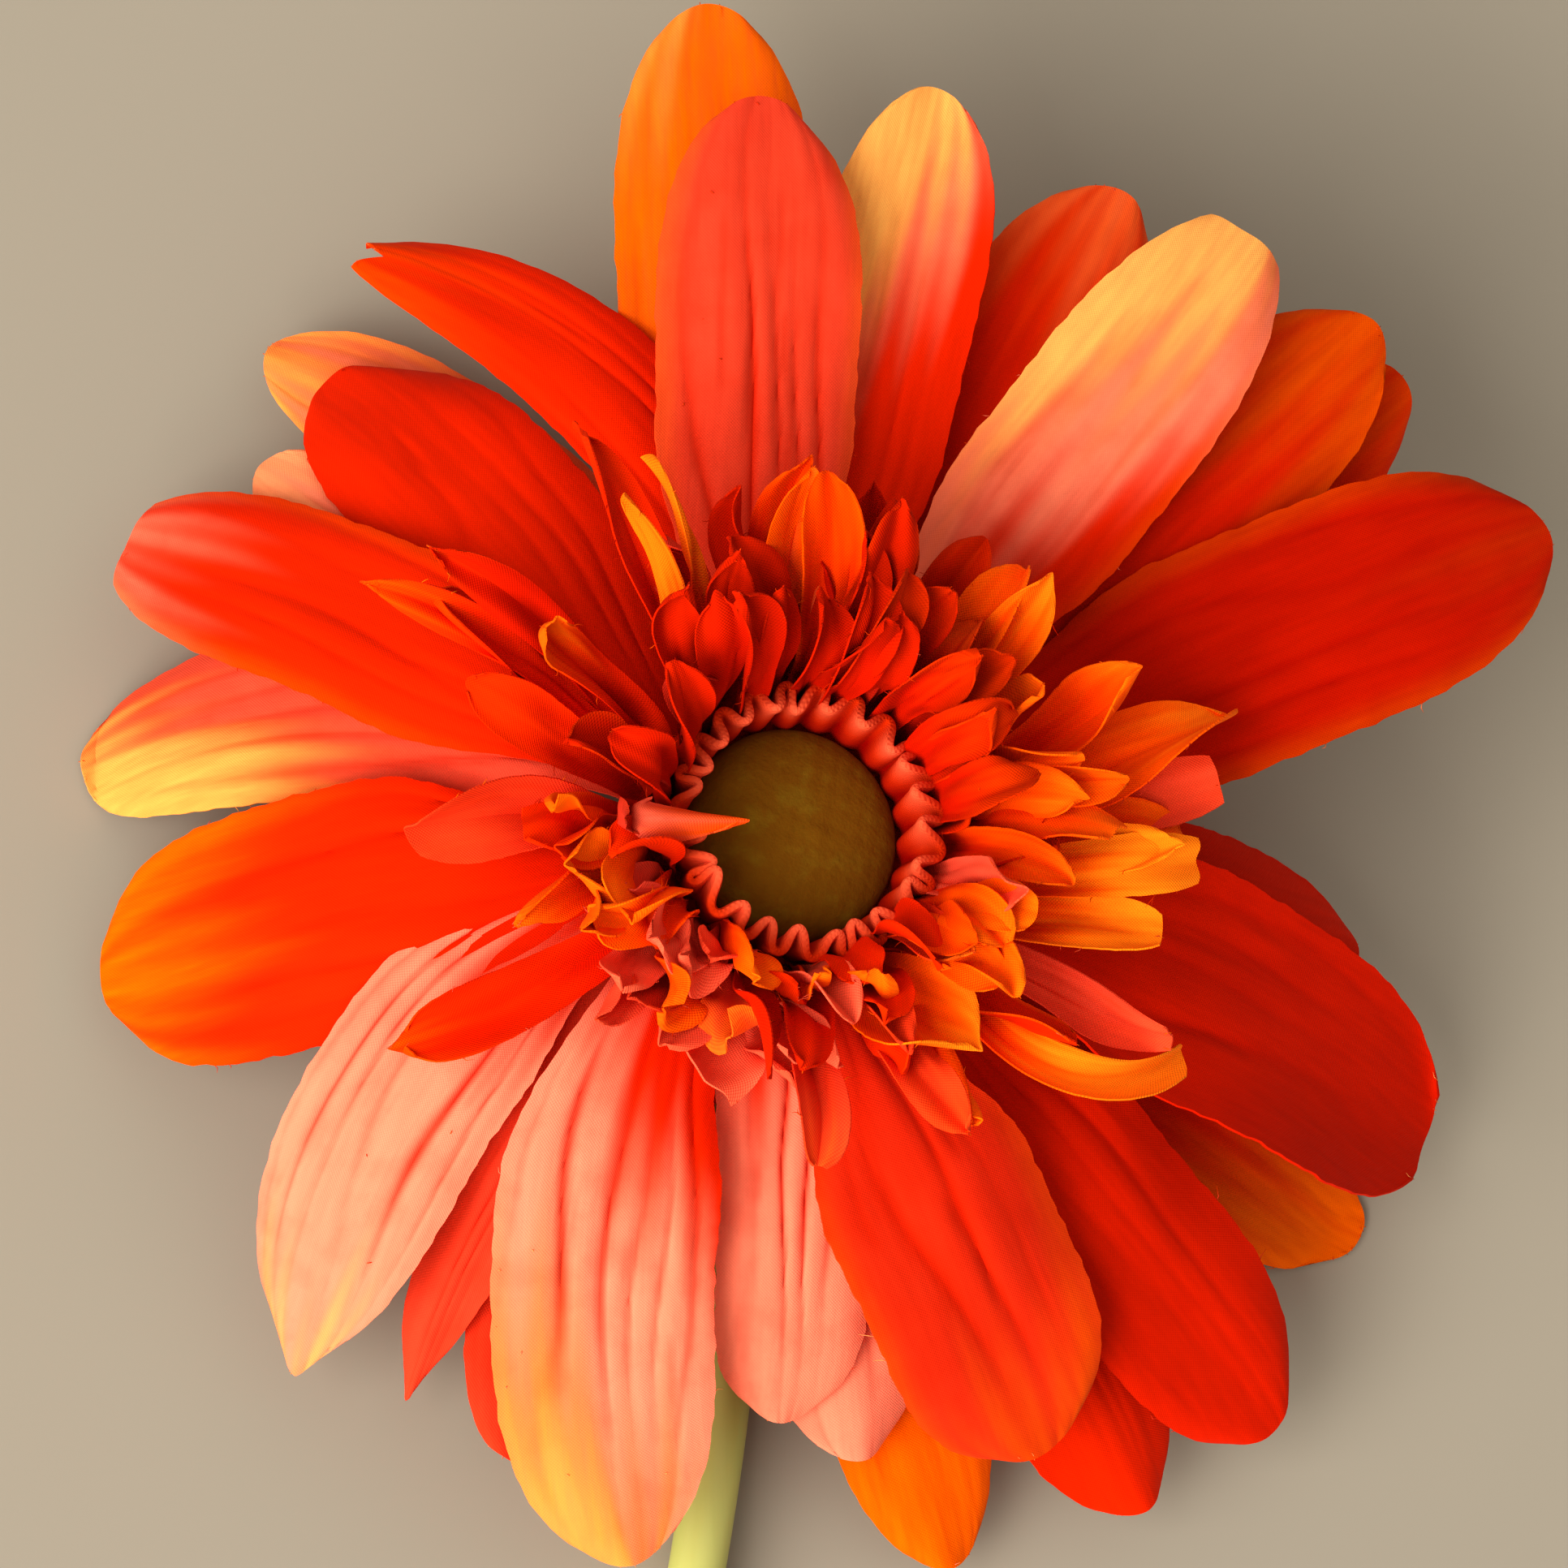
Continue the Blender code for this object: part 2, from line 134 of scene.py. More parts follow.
def newFinish(name, look):  # a material, its first flow and its shader
    material = bpy.data.materials.new(name)
    material.use_nodes = True
    tree = material.node_tree
    shader = tree.nodes["Principled BSDF"]
    for word, socket in steadySockets.items():
        if word in look:
            shader.inputs[socket].default_value = look[word]
    start = Flow(tree, tree.nodes.new("ShaderNodeTexCoord").outputs["Object"])
    return material, start, shader


def feed(shader, socket, flow):
    flow.tree.links.new(flow.socket, shader.inputs[socket])


clothLook = dict(  # pitch is the weave's, in millimetres; deep is the colour of the painted shade, and pink is part pink dye and part painted sheen
    red=screen(222, 40, 0), orange=screen(243, 106, 0), gold=screen(255, 184, 96),
    pink=screen(255, 136, 106), deep=screen(158, 4, 0), roughness=0.62,
    shine=0.16, shineColour=screen(255, 116, 70),
    sheen=0.05, sheenRoughness=0.4, sheenColour=screen(255, 116, 70),
    pitch=0.25, weave=0.2, threads=0.035, fuzz=0.25, relief=0.5, reliefDepth=0.00012,
    streakStretch=(14.0, 1.6, 1.0), streakDye=0.55, streakShade=0.32, streakDepth=0.6,
    blotScale=260.0, blotShade=0.2, blotRoughness=0.16, fibreScale=2600.0,
)
collarLook = dict(clothLook, gold=screen(255, 136, 24), orange=screen(252, 90, 0), weave=0.4,
                  threads=0.14)
toothLook = dict(clothLook, red=screen(218, 44, 16), pink=screen(250, 128, 104), weave=0.5)


def clothFinish(name, look):
    # the attribute's red is orange dye, on the edges part painted edge highlight, its green gold dye, its
    # blue pink, part dye and part painted sheen, and its alpha painted shade
    material, start, shader = newFinish(name, look)
    dye = start.add("ShaderNodeAttribute", {"attribute_name": "dye"})
    shade = start.add("ShaderNodeAttribute", {"attribute_name": "dye"}, {}, 3)
    flat = start.add("ShaderNodeUVMap", {"uv_map": "cut"})
    streaks = flat.stretched(look["streakStretch"]).noise(1.0, 4.0)
    blots = start.noise(look["blotScale"], 3.0)
    fibres = start.noise(look["fibreScale"], 2.0)
    turn = 2 * math.pi / look["pitch"] * 10  # the cut's map is in centimetres
    threads = (flat.part(0) * turn).sine() * (flat.part(1) * turn).sine()
    orange = (dye.part(0) + (streaks - 0.5) * look["streakDye"] * dye.part(0)).limit()
    gold = (dye.part(1) * (0.75 + 0.5 * streaks)).limit()
    pink = (dye.part(2) * (0.7 + 0.6 * blots)).limit()
    base = start.colour(look["red"])
    base = base.mixed(pink, look["pink"]).mixed(orange, look["orange"]).mixed(gold, look["gold"])
    # painted shade: the alpha and the random blots mix in the deep red
    base = base.mixed((shade + (0.5 - blots) * look["blotShade"]).limit(), look["deep"])
    # painted light: the cloth is lighter on its raised streaks and threads and darker between them, a
    # painted sheen and painted shade over streaky dye
    lightness = 1 + (streaks - 0.5) * look["streakShade"] + threads * look["threads"]
    base = base.add("ShaderNodeVectorMath", {"operation": "SCALE"}, {0: base, "Scale": lightness})
    feed(shader, "Base Color", base)
    feed(shader, "Roughness", look["roughness"] + (blots - 0.5) * look["blotRoughness"])
    height = threads * look["weave"] + fibres * look["fuzz"] + streaks * look["streakDepth"]
    feed(shader, "Normal", height.bump(look))
    return material


# The shape of one petal or floret

def smooth(start, end, value):
    t = np.clip((value - start) / (end - start), 0, 1)
    return t * t * (3 - 2 * t)


def mix(pair, t):
    return pair[0] + (pair[1] - pair[0]) * t


def eitherWay(draw, most):
    return draw.uniform(-most, most)


clothThickness = dict(ray_cloth=0.26, collar_cloth=0.15)
frays = []  # the loose threads of the layer that is being made
frayLook = dict(length=(0.25, 0.9), radius=0.035, tip=0.4, root=0.2, droop=0.7, spread=0.6, wander=0.5,
                clear=0.4)
lintLook = dict(size=0.2, lift=0.06, dye=np.array([0, 0.7, 1, 0]), clear=0.35)
spine = dict(steps=141, hold=0.38)  # hold is a handle's length as a share of the middle line's span
clearance = 0.02  # between the lowest cloth and the surface
hubShare = 0.06  # the share of a blank's rows that lies in the hub
edgeStart = 0.999  # from here on a point counts as one of the edge
pressing = dict(  # marks of the press: how wide or deep each is, how dark the painted shade is at the root, in the valleys and in creases, and how much painted pink sheen leaves the valleys
    free=0.3, deckle=0.005, ridgeEdge=0.6, ridgeLow=0.7, valley=0.38, crease=0.045, creaseEnd=0.06,
    creaseLean=0.25, paintedCreaseShade=0.3, paintedRootShade=0.45, paintedValleyShade=0.25, paintedRidgeSheen=0.8,
)


def ray(heading, reach, height, width=15.5, rise=6, fall=-12, **more):
    petal = dict(
        heading=heading, reach=reach, height=height, width=width, rise=rise, fall=fall,
        sway=0, swing=0, roll=0, twist=0, twistFrom=0.5, hook=0, hookFrom=0.7, hold=spine["hold"],
        channel=-0.9, curl=0, curlFrom=0.3, fold=0, wave=0.5, ruffle=0.15, ruffleTurns=16,
        pleats=5, pleat=0.3, wobble=0.3, creases=7, frays=6, lint=0,
        claw=0.28, belly=0.46, shoulder=0.62, blunt=0.42, point=1.25, tip="round",
        dye=0, dyeFrom=0.6, side=0, gold=0, goldFrom=0.85, rim=0, pink=0, pinkFrom=-1, shade=0,
    )
    petal.update(more)
    return petal


def floret(heading, reach, height, width=4.6, **more):
    blade = ray(heading, reach, height, width, 62, 10)
    blade.update(channel=0.3, wave=0.3, ruffle=0.1, ruffleTurns=9, pleats=3, pleat=0.12, wobble=0.2,
                 creases=2, claw=0.5, belly=0.85, shoulder=0.72, blunt=0.3, dyeFrom=0.55, goldFrom=0.8,
                 frays=5, look={})
    blade.update(more)
    return blade


tipCuts = {
    "fork": lambda v: 0.035 * (1 - abs(v)) ** 2,
    "point": lambda v: 0.05 * abs(v) ** 1.3,
    "square": lambda v: 0.006 * v * v,
    "round": lambda v: 0.03 * v * v,
}


def unit(rows):
    return rows / np.linalg.norm(rows, axis=1)[:, None]


def spineLine(blade, middle, root, hub):  # the blade's middle line, with its side and face directions
    t = np.linspace(0, 1, spine["steps"])
    s = 1 - t
    rise, fall, hook = (math.radians(blade[key]) for key in ("rise", "fall", "hook"))
    start, tip = np.array([hub, middle]), np.array([blade["reach"], blade["height"]])
    hold = np.linalg.norm(tip - start) * blade["hold"]
    leave = start + hold * np.array([math.cos(rise), math.sin(rise)])
    arrive = tip - hold * np.array([math.cos(fall), math.sin(fall)])
    line = (np.outer(s ** 3, start) + np.outer(3 * s * s * t, leave)
            + np.outer(3 * s * t * t, arrive) + np.outer(t ** 3, tip))
    step = np.diff(line, axis=0)
    length = np.hypot(step[:, 0], step[:, 1])
    slope = np.arctan2(step[:, 1], step[:, 0]) + hook * smooth(blade["hookFrom"], 1, t[1:])
    line[1:] = line[0] + np.cumsum(np.stack([length * np.cos(slope), length * np.sin(slope)], 1), 0)
    line = np.vstack([[root, middle], line])
    t = np.concatenate([[-1.0], t])
    ahead = np.clip(t, 0, 1)
    heading = np.radians(blade["heading"] + blade["sway"] * (1 - ahead) + blade["swing"] * ahead ** 3)
    place = np.stack([line[:, 0] * np.sin(heading), line[:, 0] * np.cos(heading), line[:, 1]], 1)
    tangent = unit(np.gradient(place, axis=0))
    side = np.stack([np.cos(heading), -np.sin(heading), heading * 0], 1)
    face = unit(np.cross(side, tangent))
    side = np.cross(tangent, face)
    turn = np.radians(blade["roll"] * smooth(0, 1, ahead)
                      + blade["twist"] * smooth(blade["twistFrom"], 1, ahead))
    cosine, sine = np.cos(turn)[:, None], np.sin(turn)[:, None]
    side, face = side * cosine - face * sine, face * cosine + side * sine
    run = np.concatenate([[0], np.cumsum(np.linalg.norm(np.diff(place, axis=0), axis=1))])
    return t, place, side, face, run


def readLine(line, along):  # place, side, face and run at these shares of the blade
    t, place, side, face, run = line
    found = [np.stack([np.interp(along, t, values[:, axis]) for axis in range(3)], 1)
             for values in (place, side, face)]
    return found + [np.interp(along, t, run)]


def readPlaces(mesh):  # a row for each vertex
    places = np.empty(len(mesh.vertices) * 3)
    mesh.vertices.foreach_get("co", places)
    return places.reshape(-1, 3)


def writeCut(mesh, cut):  # the flat cut's map, in centimetres
    loops = np.empty(len(mesh.loops), np.int32)
    mesh.loops.foreach_get("vertex_index", loops)
    mesh.uv_layers["cut"].data.foreach_set("uv", cut[loops].ravel())


def writeDyesAndPaintedLight(mesh, dyesAndPaintedLight):
    mesh.attributes["dye"].data.foreach_set("color", dyesAndPaintedLight.astype(np.float32).ravel())


def outline(blade, u, v, phases):  # half the blade's width at each point
    wide = blade["claw"] + (1 - blade["claw"]) * smooth(0, blade["belly"], u)
    beyond = np.clip((u - blade["shoulder"]) / (1 - blade["shoulder"]), 0, 1) ** blade["point"]
    half = blade["width"] / 2 * wide * np.sqrt(1 - beyond ** 2 * (1 - blade["blunt"] ** 2))
    deckle = (np.sin(61 * u + phases[0]) + np.sin(97 * u + phases[1] + 2 * v)
              + np.sin(149 * u + phases[2]))
    return half * (1 + pressing["deckle"] * deckle * np.abs(v) ** 4)


def bent(blade, u, v, half, free):  # the channel, curl and fold: how far aside and how high
    bend = 2 * blade["channel"] / half * free + blade["curl"] * smooth(blade["curlFrom"], 1, u)
    bend = np.where(np.abs(bend) < 0.001, 0.001, bend)
    across = half * np.sin(bend * v) / bend
    lift = half * (1 - np.cos(bend * v)) / bend
    foldAngle = math.radians(blade["fold"]) * free
    return across * np.cos(foldAngle), lift + np.abs(across) * np.sin(foldAngle)


def pressed(blade, u, v, lift, free, phases, draw):  # adds waves, ridges and creases; finds the valleys, which take painted shade
    lift = lift + blade["wave"] * np.sin(9 * u + blade["heading"]) * v * np.abs(v) * free
    edge = np.abs(v) ** 2.2 * smooth(0.1, 0.6, u)
    lift += blade["ruffle"] * np.sin(blade["ruffleTurns"] * u + phases[3] + 1.8 * np.sign(v)) * edge
    drift = (0.1 * np.sin(4 * u + phases[4]) + 0.13 * np.sin(4.1 * v + phases[5])
             + 0.05 * np.sin(9 * u + 5 * v))
    crest = np.abs(np.sin(math.pi * blade["pleats"] * (v + drift + 1) / 2 + phases[5]))
    ridge = crest ** pressing["ridgeEdge"] - pressing["ridgeLow"]
    strong = 0.75 + 0.35 * np.sin(5.3 * v + phases[11]) + 0.2 * np.sin(7 * u + 3 * v + phases[6])
    strong = strong * free * (1 - 0.85 * smooth(0.5, 0.95, u)) * (1 - np.abs(v) ** 5)
    lift += blade["pleat"] * ridge * strong
    lift += blade["wobble"] * free * np.sin(5 * u + phases[6] + 2 * v) * np.sin(3 * v + phases[7])
    lift += blade["wobble"] * 0.4 * free * np.sin(13 * u + phases[8] - 3 * v)
    valley = np.exp(-(crest / pressing["valley"]) ** 2) * np.clip(strong, 0, 1)
    valley = valley * min(1, blade["pleat"] * 2)
    for _ in range(blade["creases"]):
        line, first = eitherWay(draw, 0.8), draw.uniform(0.1, 0.7)
        last, deep = first + draw.uniform(0.1, 0.35), draw.uniform(-0.16, 0.1)
        lean = eitherWay(draw, pressing["creaseLean"])
        end = pressing["creaseEnd"]
        within = smooth(first, first + end, u) * (1 - smooth(last - end, last, u))
        mark = np.exp(-((v - line - lean * (u - first)) / pressing["crease"]) ** 2) * within
        lift += deep * mark
        # painted shade in the creases that sink
        valley = np.maximum(valley, pressing["paintedCreaseShade"] * mark * (deep < 0))
    return lift, valley


def dyedWithPaintedLight(blade, u, v, valley, phases):  # the shares of orange and gold dye, the pink that is part dye and part painted sheen, and the painted shade
    patchy = 0.07 * np.sin(6 * v + phases[9]) + 0.05 * np.sin(17 * v + phases[10])
    reachOut = u + blade["side"] * v + patchy
    orange = blade["dye"] * smooth(blade["dyeFrom"] - 0.22, blade["dyeFrom"] + 0.28, reachOut)
    # the rim turns the edges orange, part edge dye and part painted edge highlight
    rim = smooth(0.72, 1.02, np.abs(v) + 0.3 * patchy) * smooth(0.15, 0.5, u)
    orange = np.maximum(orange, blade["rim"] * rim)
    gold = blade["gold"] * smooth(blade["goldFrom"] - 0.15, blade["goldFrom"] + 0.15, reachOut)
    pink = blade["pink"] * smooth(blade["pinkFrom"] - 0.2, blade["pinkFrom"] + 0.2, reachOut)
    pink *= 1 - pressing["paintedRidgeSheen"] * valley  # painted sheen: the pink stays on the pressed ridges and leaves the valleys
    # painted shade, deepest at the root under the layers above and in the valleys, on top of each blade's
    # own painted shade
    shade = (blade["shade"] + pressing["paintedRootShade"] * (1 - smooth(0.0, 0.22, u))
             + pressing["paintedValleyShade"] * valley)
    return np.stack([orange, gold, pink, np.clip(shade, 0, 1)], 1)


def shapeBlade(blade, mesh, middle, root, hub, draw):
    flat = readPlaces(mesh)
    v, row = flat[:, 0], (flat[:, 1] + 1) / 2  # v runs from edge to edge, and u from the hub to the tip
    t = np.where(row < hubShare, row / hubShare - 1, (row - hubShare) / (1 - hubShare))
    u = np.clip(t, 0, 1)
    along = np.where(t > 0, t * (1 - tipCuts[blade["tip"]](v)), t)
    place, side, face, run = readLine(spineLine(blade, middle, root, hub), along)
    phases = [draw.uniform(0, math.tau) for _ in range(12)]
    free = smooth(0, pressing["free"], u)
    half = outline(blade, u, v, phases)
    across, lift = bent(blade, u, v, half, free)
    lift, valley = pressed(blade, u, v, lift, free, phases, draw)
    place = place + side * across[:, None] + face * lift[:, None]
    place[:, 2] = np.maximum(place[:, 2], clothThickness["ray_cloth"] / 2 + clearance)
    place[:, 0] += axisX
    place[:, 1] += axisY
    mesh.vertices.foreach_set("co", (place * mm).ravel())
    writeCut(mesh, np.stack([half * v, run], 1) / 10 + draw.uniform(0, 9))
    # the dyes, with the painted sheen in the pink and the painted shade in the alpha
    dyesAndPaintedLight = dyedWithPaintedLight(blade, u, v, valley, phases)
    writeDyesAndPaintedLight(mesh, dyesAndPaintedLight)
    mesh.update()
    edge = np.where(((np.abs(v) > edgeStart) | (u > edgeStart)) & (u > frayLook["clear"]))[0]
    for _ in range(blade["frays"]):  # single threads that stand out of the cut edge
        index = edge[draw.randrange(len(edge))]
        outward = side[index] * v[index] * (1 - smooth(0.9, 1, u[index]))
        outward = (outward + np.cross(face[index], side[index]) * -frayLook["droop"]
                   + face[index] * eitherWay(draw, frayLook["spread"]))
        outward = outward / np.linalg.norm(outward)
        wander = np.array([eitherWay(draw, frayLook["wander"]) for _ in range(3)])
        length = draw.uniform(*frayLook["length"])
        points = [place[index] - outward * frayLook["root"], place[index] + outward * length * 0.5,
                  place[index] + (outward + wander) * length]
        frays.append((points, dyesAndPaintedLight[index]))
    for _ in range(blade["lint"]):  # specks of pale fluff that lie on the cloth
        index = draw.randrange(len(flat))
        ahead = side[index] * eitherWay(draw, 1) + np.cross(face[index], side[index]) * eitherWay(draw, 1)
        start = place[index] + face[index] * clothThickness["ray_cloth"] * 0.6
        middlePoint = start + ahead * lintLook["size"] + face[index] * lintLook["lift"]
        if u[index] > lintLook["clear"]:
            frays.append(([start, middlePoint, start + ahead * lintLook["size"] * 2], lintLook["dye"]))
    flatLength = float(run.max() - run[t <= 0].max())
    return 2 * float(np.mean(half[t > 0])) * flatLength, hub + flatLength


# Pieces made from blanks

def deselect():
    for other in bpy.context.selected_objects:
        other.select_set(False)


def choose(obj):
    deselect()
    obj.select_set(True)
    bpy.context.view_layer.objects.active = obj


def editMode():
    bpy.ops.object.mode_set(mode="EDIT")


def objectMode():
    bpy.ops.object.mode_set(mode="OBJECT")


def smoothShade(sharpest):
    bpy.ops.object.shade_smooth_by_angle(angle=math.radians(sharpest))


def addCut(mesh):  # the map and the dye attribute that every cloth reads
    for layer in list(mesh.uv_layers):
        mesh.uv_layers.remove(layer)
    mesh.uv_layers.new(name="cut")
    return mesh.attributes.new("dye", "FLOAT_COLOR", "POINT")


def makeBlank(name, columns, rows):  # a flat cut of cloth, from -1 to 1 both ways
    deselect()
    bpy.ops.mesh.primitive_grid_add(x_subdivisions=columns, y_subdivisions=rows, size=2)
    blank = bpy.context.object
    blank.name = name
    addCut(blank.data)
    return blank


def newObject(name, data):
    obj = bpy.data.objects.new(name, data)
    bpy.context.scene.collection.objects.link(obj)
    return obj


def copyOf(blank, name):
    return newObject(name, blank.data.copy())


def writeRound(mesh, angle, radius, height):  # vertices round the bloom's middle line
    place = np.stack([radius * np.sin(angle) + axisX, radius * np.cos(angle) + axisY, height], 1)
    mesh.vertices.foreach_set("co", (place * mm).ravel())


# The hub's shade is painted shade, where it lies under the layers above.
hubLook = dict(bore=2.9, lap=0.4, shade=0.15)


def hubRing(middle, hub, name):  # the flat middle of a die-cut layer
    ring = copyOf(hubBlank, name)
    flat = readPlaces(ring.data)
    angle = (flat[:, 0] + 1) * math.pi
    radius = mix((hubLook["bore"], hub + hubLook["lap"]), (flat[:, 1] + 1) / 2)
    writeRound(ring.data, angle, radius, 0 * angle + middle)
    writeDyesAndPaintedLight(ring.data, np.tile([0, 0, 0, hubLook["shade"]], (len(flat), 1)))
    return ring


def joined(parts, name):
    choose(parts[0])
    for part in parts[1:]:
        part.select_set(True)
    bpy.ops.object.join()
    parts[0].name = name
    return parts[0]


def thicken(piece, thickness):
    choose(piece)
    wall = piece.modifiers.new("cloth", "SOLIDIFY")
    wall.thickness = thickness * mm
    wall.offset = 0
    bpy.ops.object.modifier_apply(modifier="cloth")
    smoothShade(50)


def weld(piece, distance=0.000001):  # in metres
    choose(piece)
    editMode()
    bpy.ops.mesh.select_all(action="SELECT")
    bpy.ops.mesh.remove_doubles(threshold=distance)
    objectMode()


def newCurve(name):
    deselect()
    bpy.ops.curve.primitive_bezier_curve_add()
    curve = bpy.context.object
    curve.name = name
    return curve


def drawOut(curve, radius, sides):  # a closed tube round the curve, as a mesh
    curve.data.bevel_depth = radius * mm
    curve.data.bevel_resolution = sides
    curve.data.use_fill_caps = True
    bpy.ops.object.convert(target="MESH")


def threadPiece(threads, name):  # thin loose threads, each along its points
    curve = newCurve(name)
    curve.data.splines.clear()
    for points, _ in threads:
        spline = curve.data.splines.new("POLY")
        spline.points.add(len(points) - 1)
        for point, place in zip(spline.points, points):
            point.co = (*[value * mm for value in place], 1)
        spline.points[-1].radius = frayLook["tip"]
    drawOut(curve, frayLook["radius"], 0)
    dye = addCut(curve.data)
    perThread = len(curve.data.vertices) // len(threads)
    for index, item in enumerate(dye.data):
        item.color = threads[min(index // perThread, len(threads) - 1)][1]
    weld(curve)
    return curve


def finishPiece(piece, node, slot):
    piece.data.materials.clear()
    piece.data.materials.append(finishes[slot])
    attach(piece, "root")
    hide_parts(node)
    print(piece.name, len(piece.data.polygons), "faces")


def makeLayer(node, blades, blank, middle, root, hub, slot):
    draw = random.Random(node)
    parts = [hubRing(middle, hub, node + "_hub")]
    area = math.pi * hub ** 2
    corners = []
    frays.clear()
    for blade in blades:
        part = copyOf(blank, "blade")
        bladeArea, flatReach = shapeBlade(blade, part.data, middle, root, hub, draw)
        area += bladeArea
        angle = math.radians(blade["heading"])
        corners.append((flatReach * math.sin(angle), flatReach * math.cos(angle)))
        parts.append(part)
    layer = joined(parts, node + "_cloth")
    thicken(layer, clothThickness[slot])
    layer = joined([layer, threadPiece(frays, node + "_threads")], node + "_cloth")
    finishPiece(layer, node, slot)
    flat = [(max(side) - min(side)) * mm for side in zip(*corners)]
    area * mm * mm
    print("  cut from", [round(side / mm) for side in flat], "mm")
    return layer


# Ray petals

# A petal's shade is painted shade, set higher on the right-hand petals that face away from the lamp; its
# pink is part dye and part painted sheen on the lit petals, and its rim part edge dye and part painted
# edge highlight.
upperRays = [  # by heading, reach, height, width, rise and fall
    ray(359, 58.5, 30, 16.5, 16, -6, sway=-4, pleats=6, pleat=0.6, point=1.7, creases=12, lint=6, rim=0.3,
        pink=0.18),
    ray(38, 62, 31, 15.5, 16, -10, tip="square", pleats=3, blunt=0.45, dye=0.5, side=-0.28, gold=0.8,
        goldFrom=0.8, rim=0.3, pink=1, pinkFrom=0.42),
    ray(67, 68.5, 28, 18.5, 14, -14, pleat=0.4, point=1.6, dye=0.4, dyeFrom=0.95, rim=0.6, shade=0.58),
    ray(108, 61, 6, 19.5, 8, -38, sway=-4, channel=1.6, point=1.6, shade=0.44),
    ray(153.5, 51, 14, 18.5, 11, -32, sway=5, pleats=4, pleat=0.4, point=1.7, dye=0.5, dyeFrom=0.9,
        side=-0.1, rim=0.3, pink=0.05, shade=0.14),
    ray(190, 55, 10, 17.5, 8, -30, sway=28, pleats=6, pleat=0.6, claw=0.5, point=1.6, creases=8, lint=9,
        dye=0.8, dyeFrom=0.8, side=0.28, gold=0.35, goldFrom=0.98, pink=1, pinkFrom=0.3),
    ray(222, 52.5, 6, 15, 6, -42, tip="point", sway=31, pleats=6, pleat=0.5, claw=0.45, blunt=0.28,
        creases=8, lint=7, dye=0.4, dyeFrom=0.98, gold=0.5, goldFrom=1.0, pink=1, pinkFrom=0.2),
    ray(261, 50, 3, 19.5, 8, -50, sway=2, pleat=0.45, point=1.8, dye=0.9, dyeFrom=0.84, side=0.08),
    ray(300, 54.5, 6, 15, 10, -46, tip="square", shoulder=0.7, blunt=0.5, rim=0.25, pink=0.6,
        pinkFrom=0.95),
]
middleRays = [
    ray(13, 62.5, 27, 13.5, 8, -2, roll=-4, channel=0.8, point=1.8, dye=0.8, dyeFrom=0.7, side=-0.4,
        gold=0.85, goldFrom=0.78, pink=0.9, pinkFrom=0.6),
    ray(49, 66, 27, 15.5, 10, -6, point=1.6, dye=0.8, dyeFrom=0.78, rim=0.4, shade=0.34),
    ray(95, 52, 10, 15, 2, -30, shade=0.25),
    ray(134, 61, 7, 16.5, -3, -32, point=1.6, shade=0.32),
    ray(177, 43, 11, 13, 2, -34, sway=-3, pleat=0.5, claw=0.95, point=1.8, pink=1, pinkFrom=0.2),
    ray(217.5, 48, 3.5, 7, 0, -42, tip="point", sway=4, swing=-5, claw=1.5, belly=0.7, blunt=0.15,
        pink=0.15),
    ray(281, 51, -1.5, 15, 3, -60, sway=19, dye=0.9, dyeFrom=0.78, side=-0.3, gold=0.6, goldFrom=0.82,
        pink=0.3),
    ray(328, 57.5, 16, 11.5, 8, -28, tip="fork", sway=34, belly=0.3, shoulder=0.35, blunt=0.3, dye=0.3,
        dyeFrom=0.95),
]
lowerRays = [
    ray(29, 62, 24, 16, 4, -2, point=1.6, dye=0.6, dyeFrom=0.85, pink=0.5, pinkFrom=0.95, shade=0.15),
    ray(145, 59, 5, 15.5, -6, -26, point=1.6),
    ray(168.5, 46.5, 9, 13, -4, -22, pleats=4, pleat=0.5, claw=0.6, point=1.8, pink=1, pinkFrom=0.2),
    ray(323, 51, 7, 17, 2, -42, point=1.6),
]
bottomRays = [
    ray(357, 68, 24, 17, 0, 4, point=1.6, dye=0.9, dyeFrom=0.4, side=-0.3, gold=0.3, goldFrom=1.15,
        rim=0.9, pink=0.3),
    ray(53, 67, 22.5, 15.5, 0, 0, dye=0.4, dyeFrom=0.9),
    ray(115, 60, -1.0, 15.5, -6, -30, frays=16, dye=1, dyeFrom=0.7),
    ray(161, 56, 3.5, 13.5, -14, -18, sway=2, point=1.5, dye=0.8),
    ray(201, 49, 6.3, 14, -16, -2, sway=9, claw=0.8, pink=0.1),
    ray(312, 49.5, 8, 13, -8, -30, gold=0.3, goldFrom=0.8, pink=1),
    ray(326, 56, 4, 13.5, -16, -20, sway=12, swing=-5, dye=0.8, dyeFrom=0.8, gold=0.4, goldFrom=0.95,
        rim=0.6, pink=0.9),
]
rays = dict(rays_bottom=bottomRays, rays_lower=lowerRays, rays_middle=middleRays, rays_upper=upperRays)


# Collar florets

def dyer(**dye):  # makes florets of one dye, each with what is its own
    def dyedFloret(heading, reach, height, width=4.6, fall=10, /, **own):
        return floret(heading, reach, height, width, fall=fall, look=dict(dye, **own))
    return dyedFloret


# A dye's shade is painted shade, deepest on the red florets round the pit; pink is part dye and part
# painted sheen, and a rim part edge dye and part painted edge highlight.
red = dyer(dye=0.12, gold=0, pink=0, shade=0.55, rim=0)
orange = dyer(dye=1, dyeFrom=0.5, gold=0.3, goldFrom=0.85, pink=0, shade=0)
yellow = dyer(dye=1, dyeFrom=0.4, gold=0.85, goldFrom=0.65, pink=0, shade=0)
salmon = dyer(dye=0.15, gold=0, pink=0.45, shade=0, rim=0)

# Those that stand out take the place of a like one in the ring, and the extra ones go between.

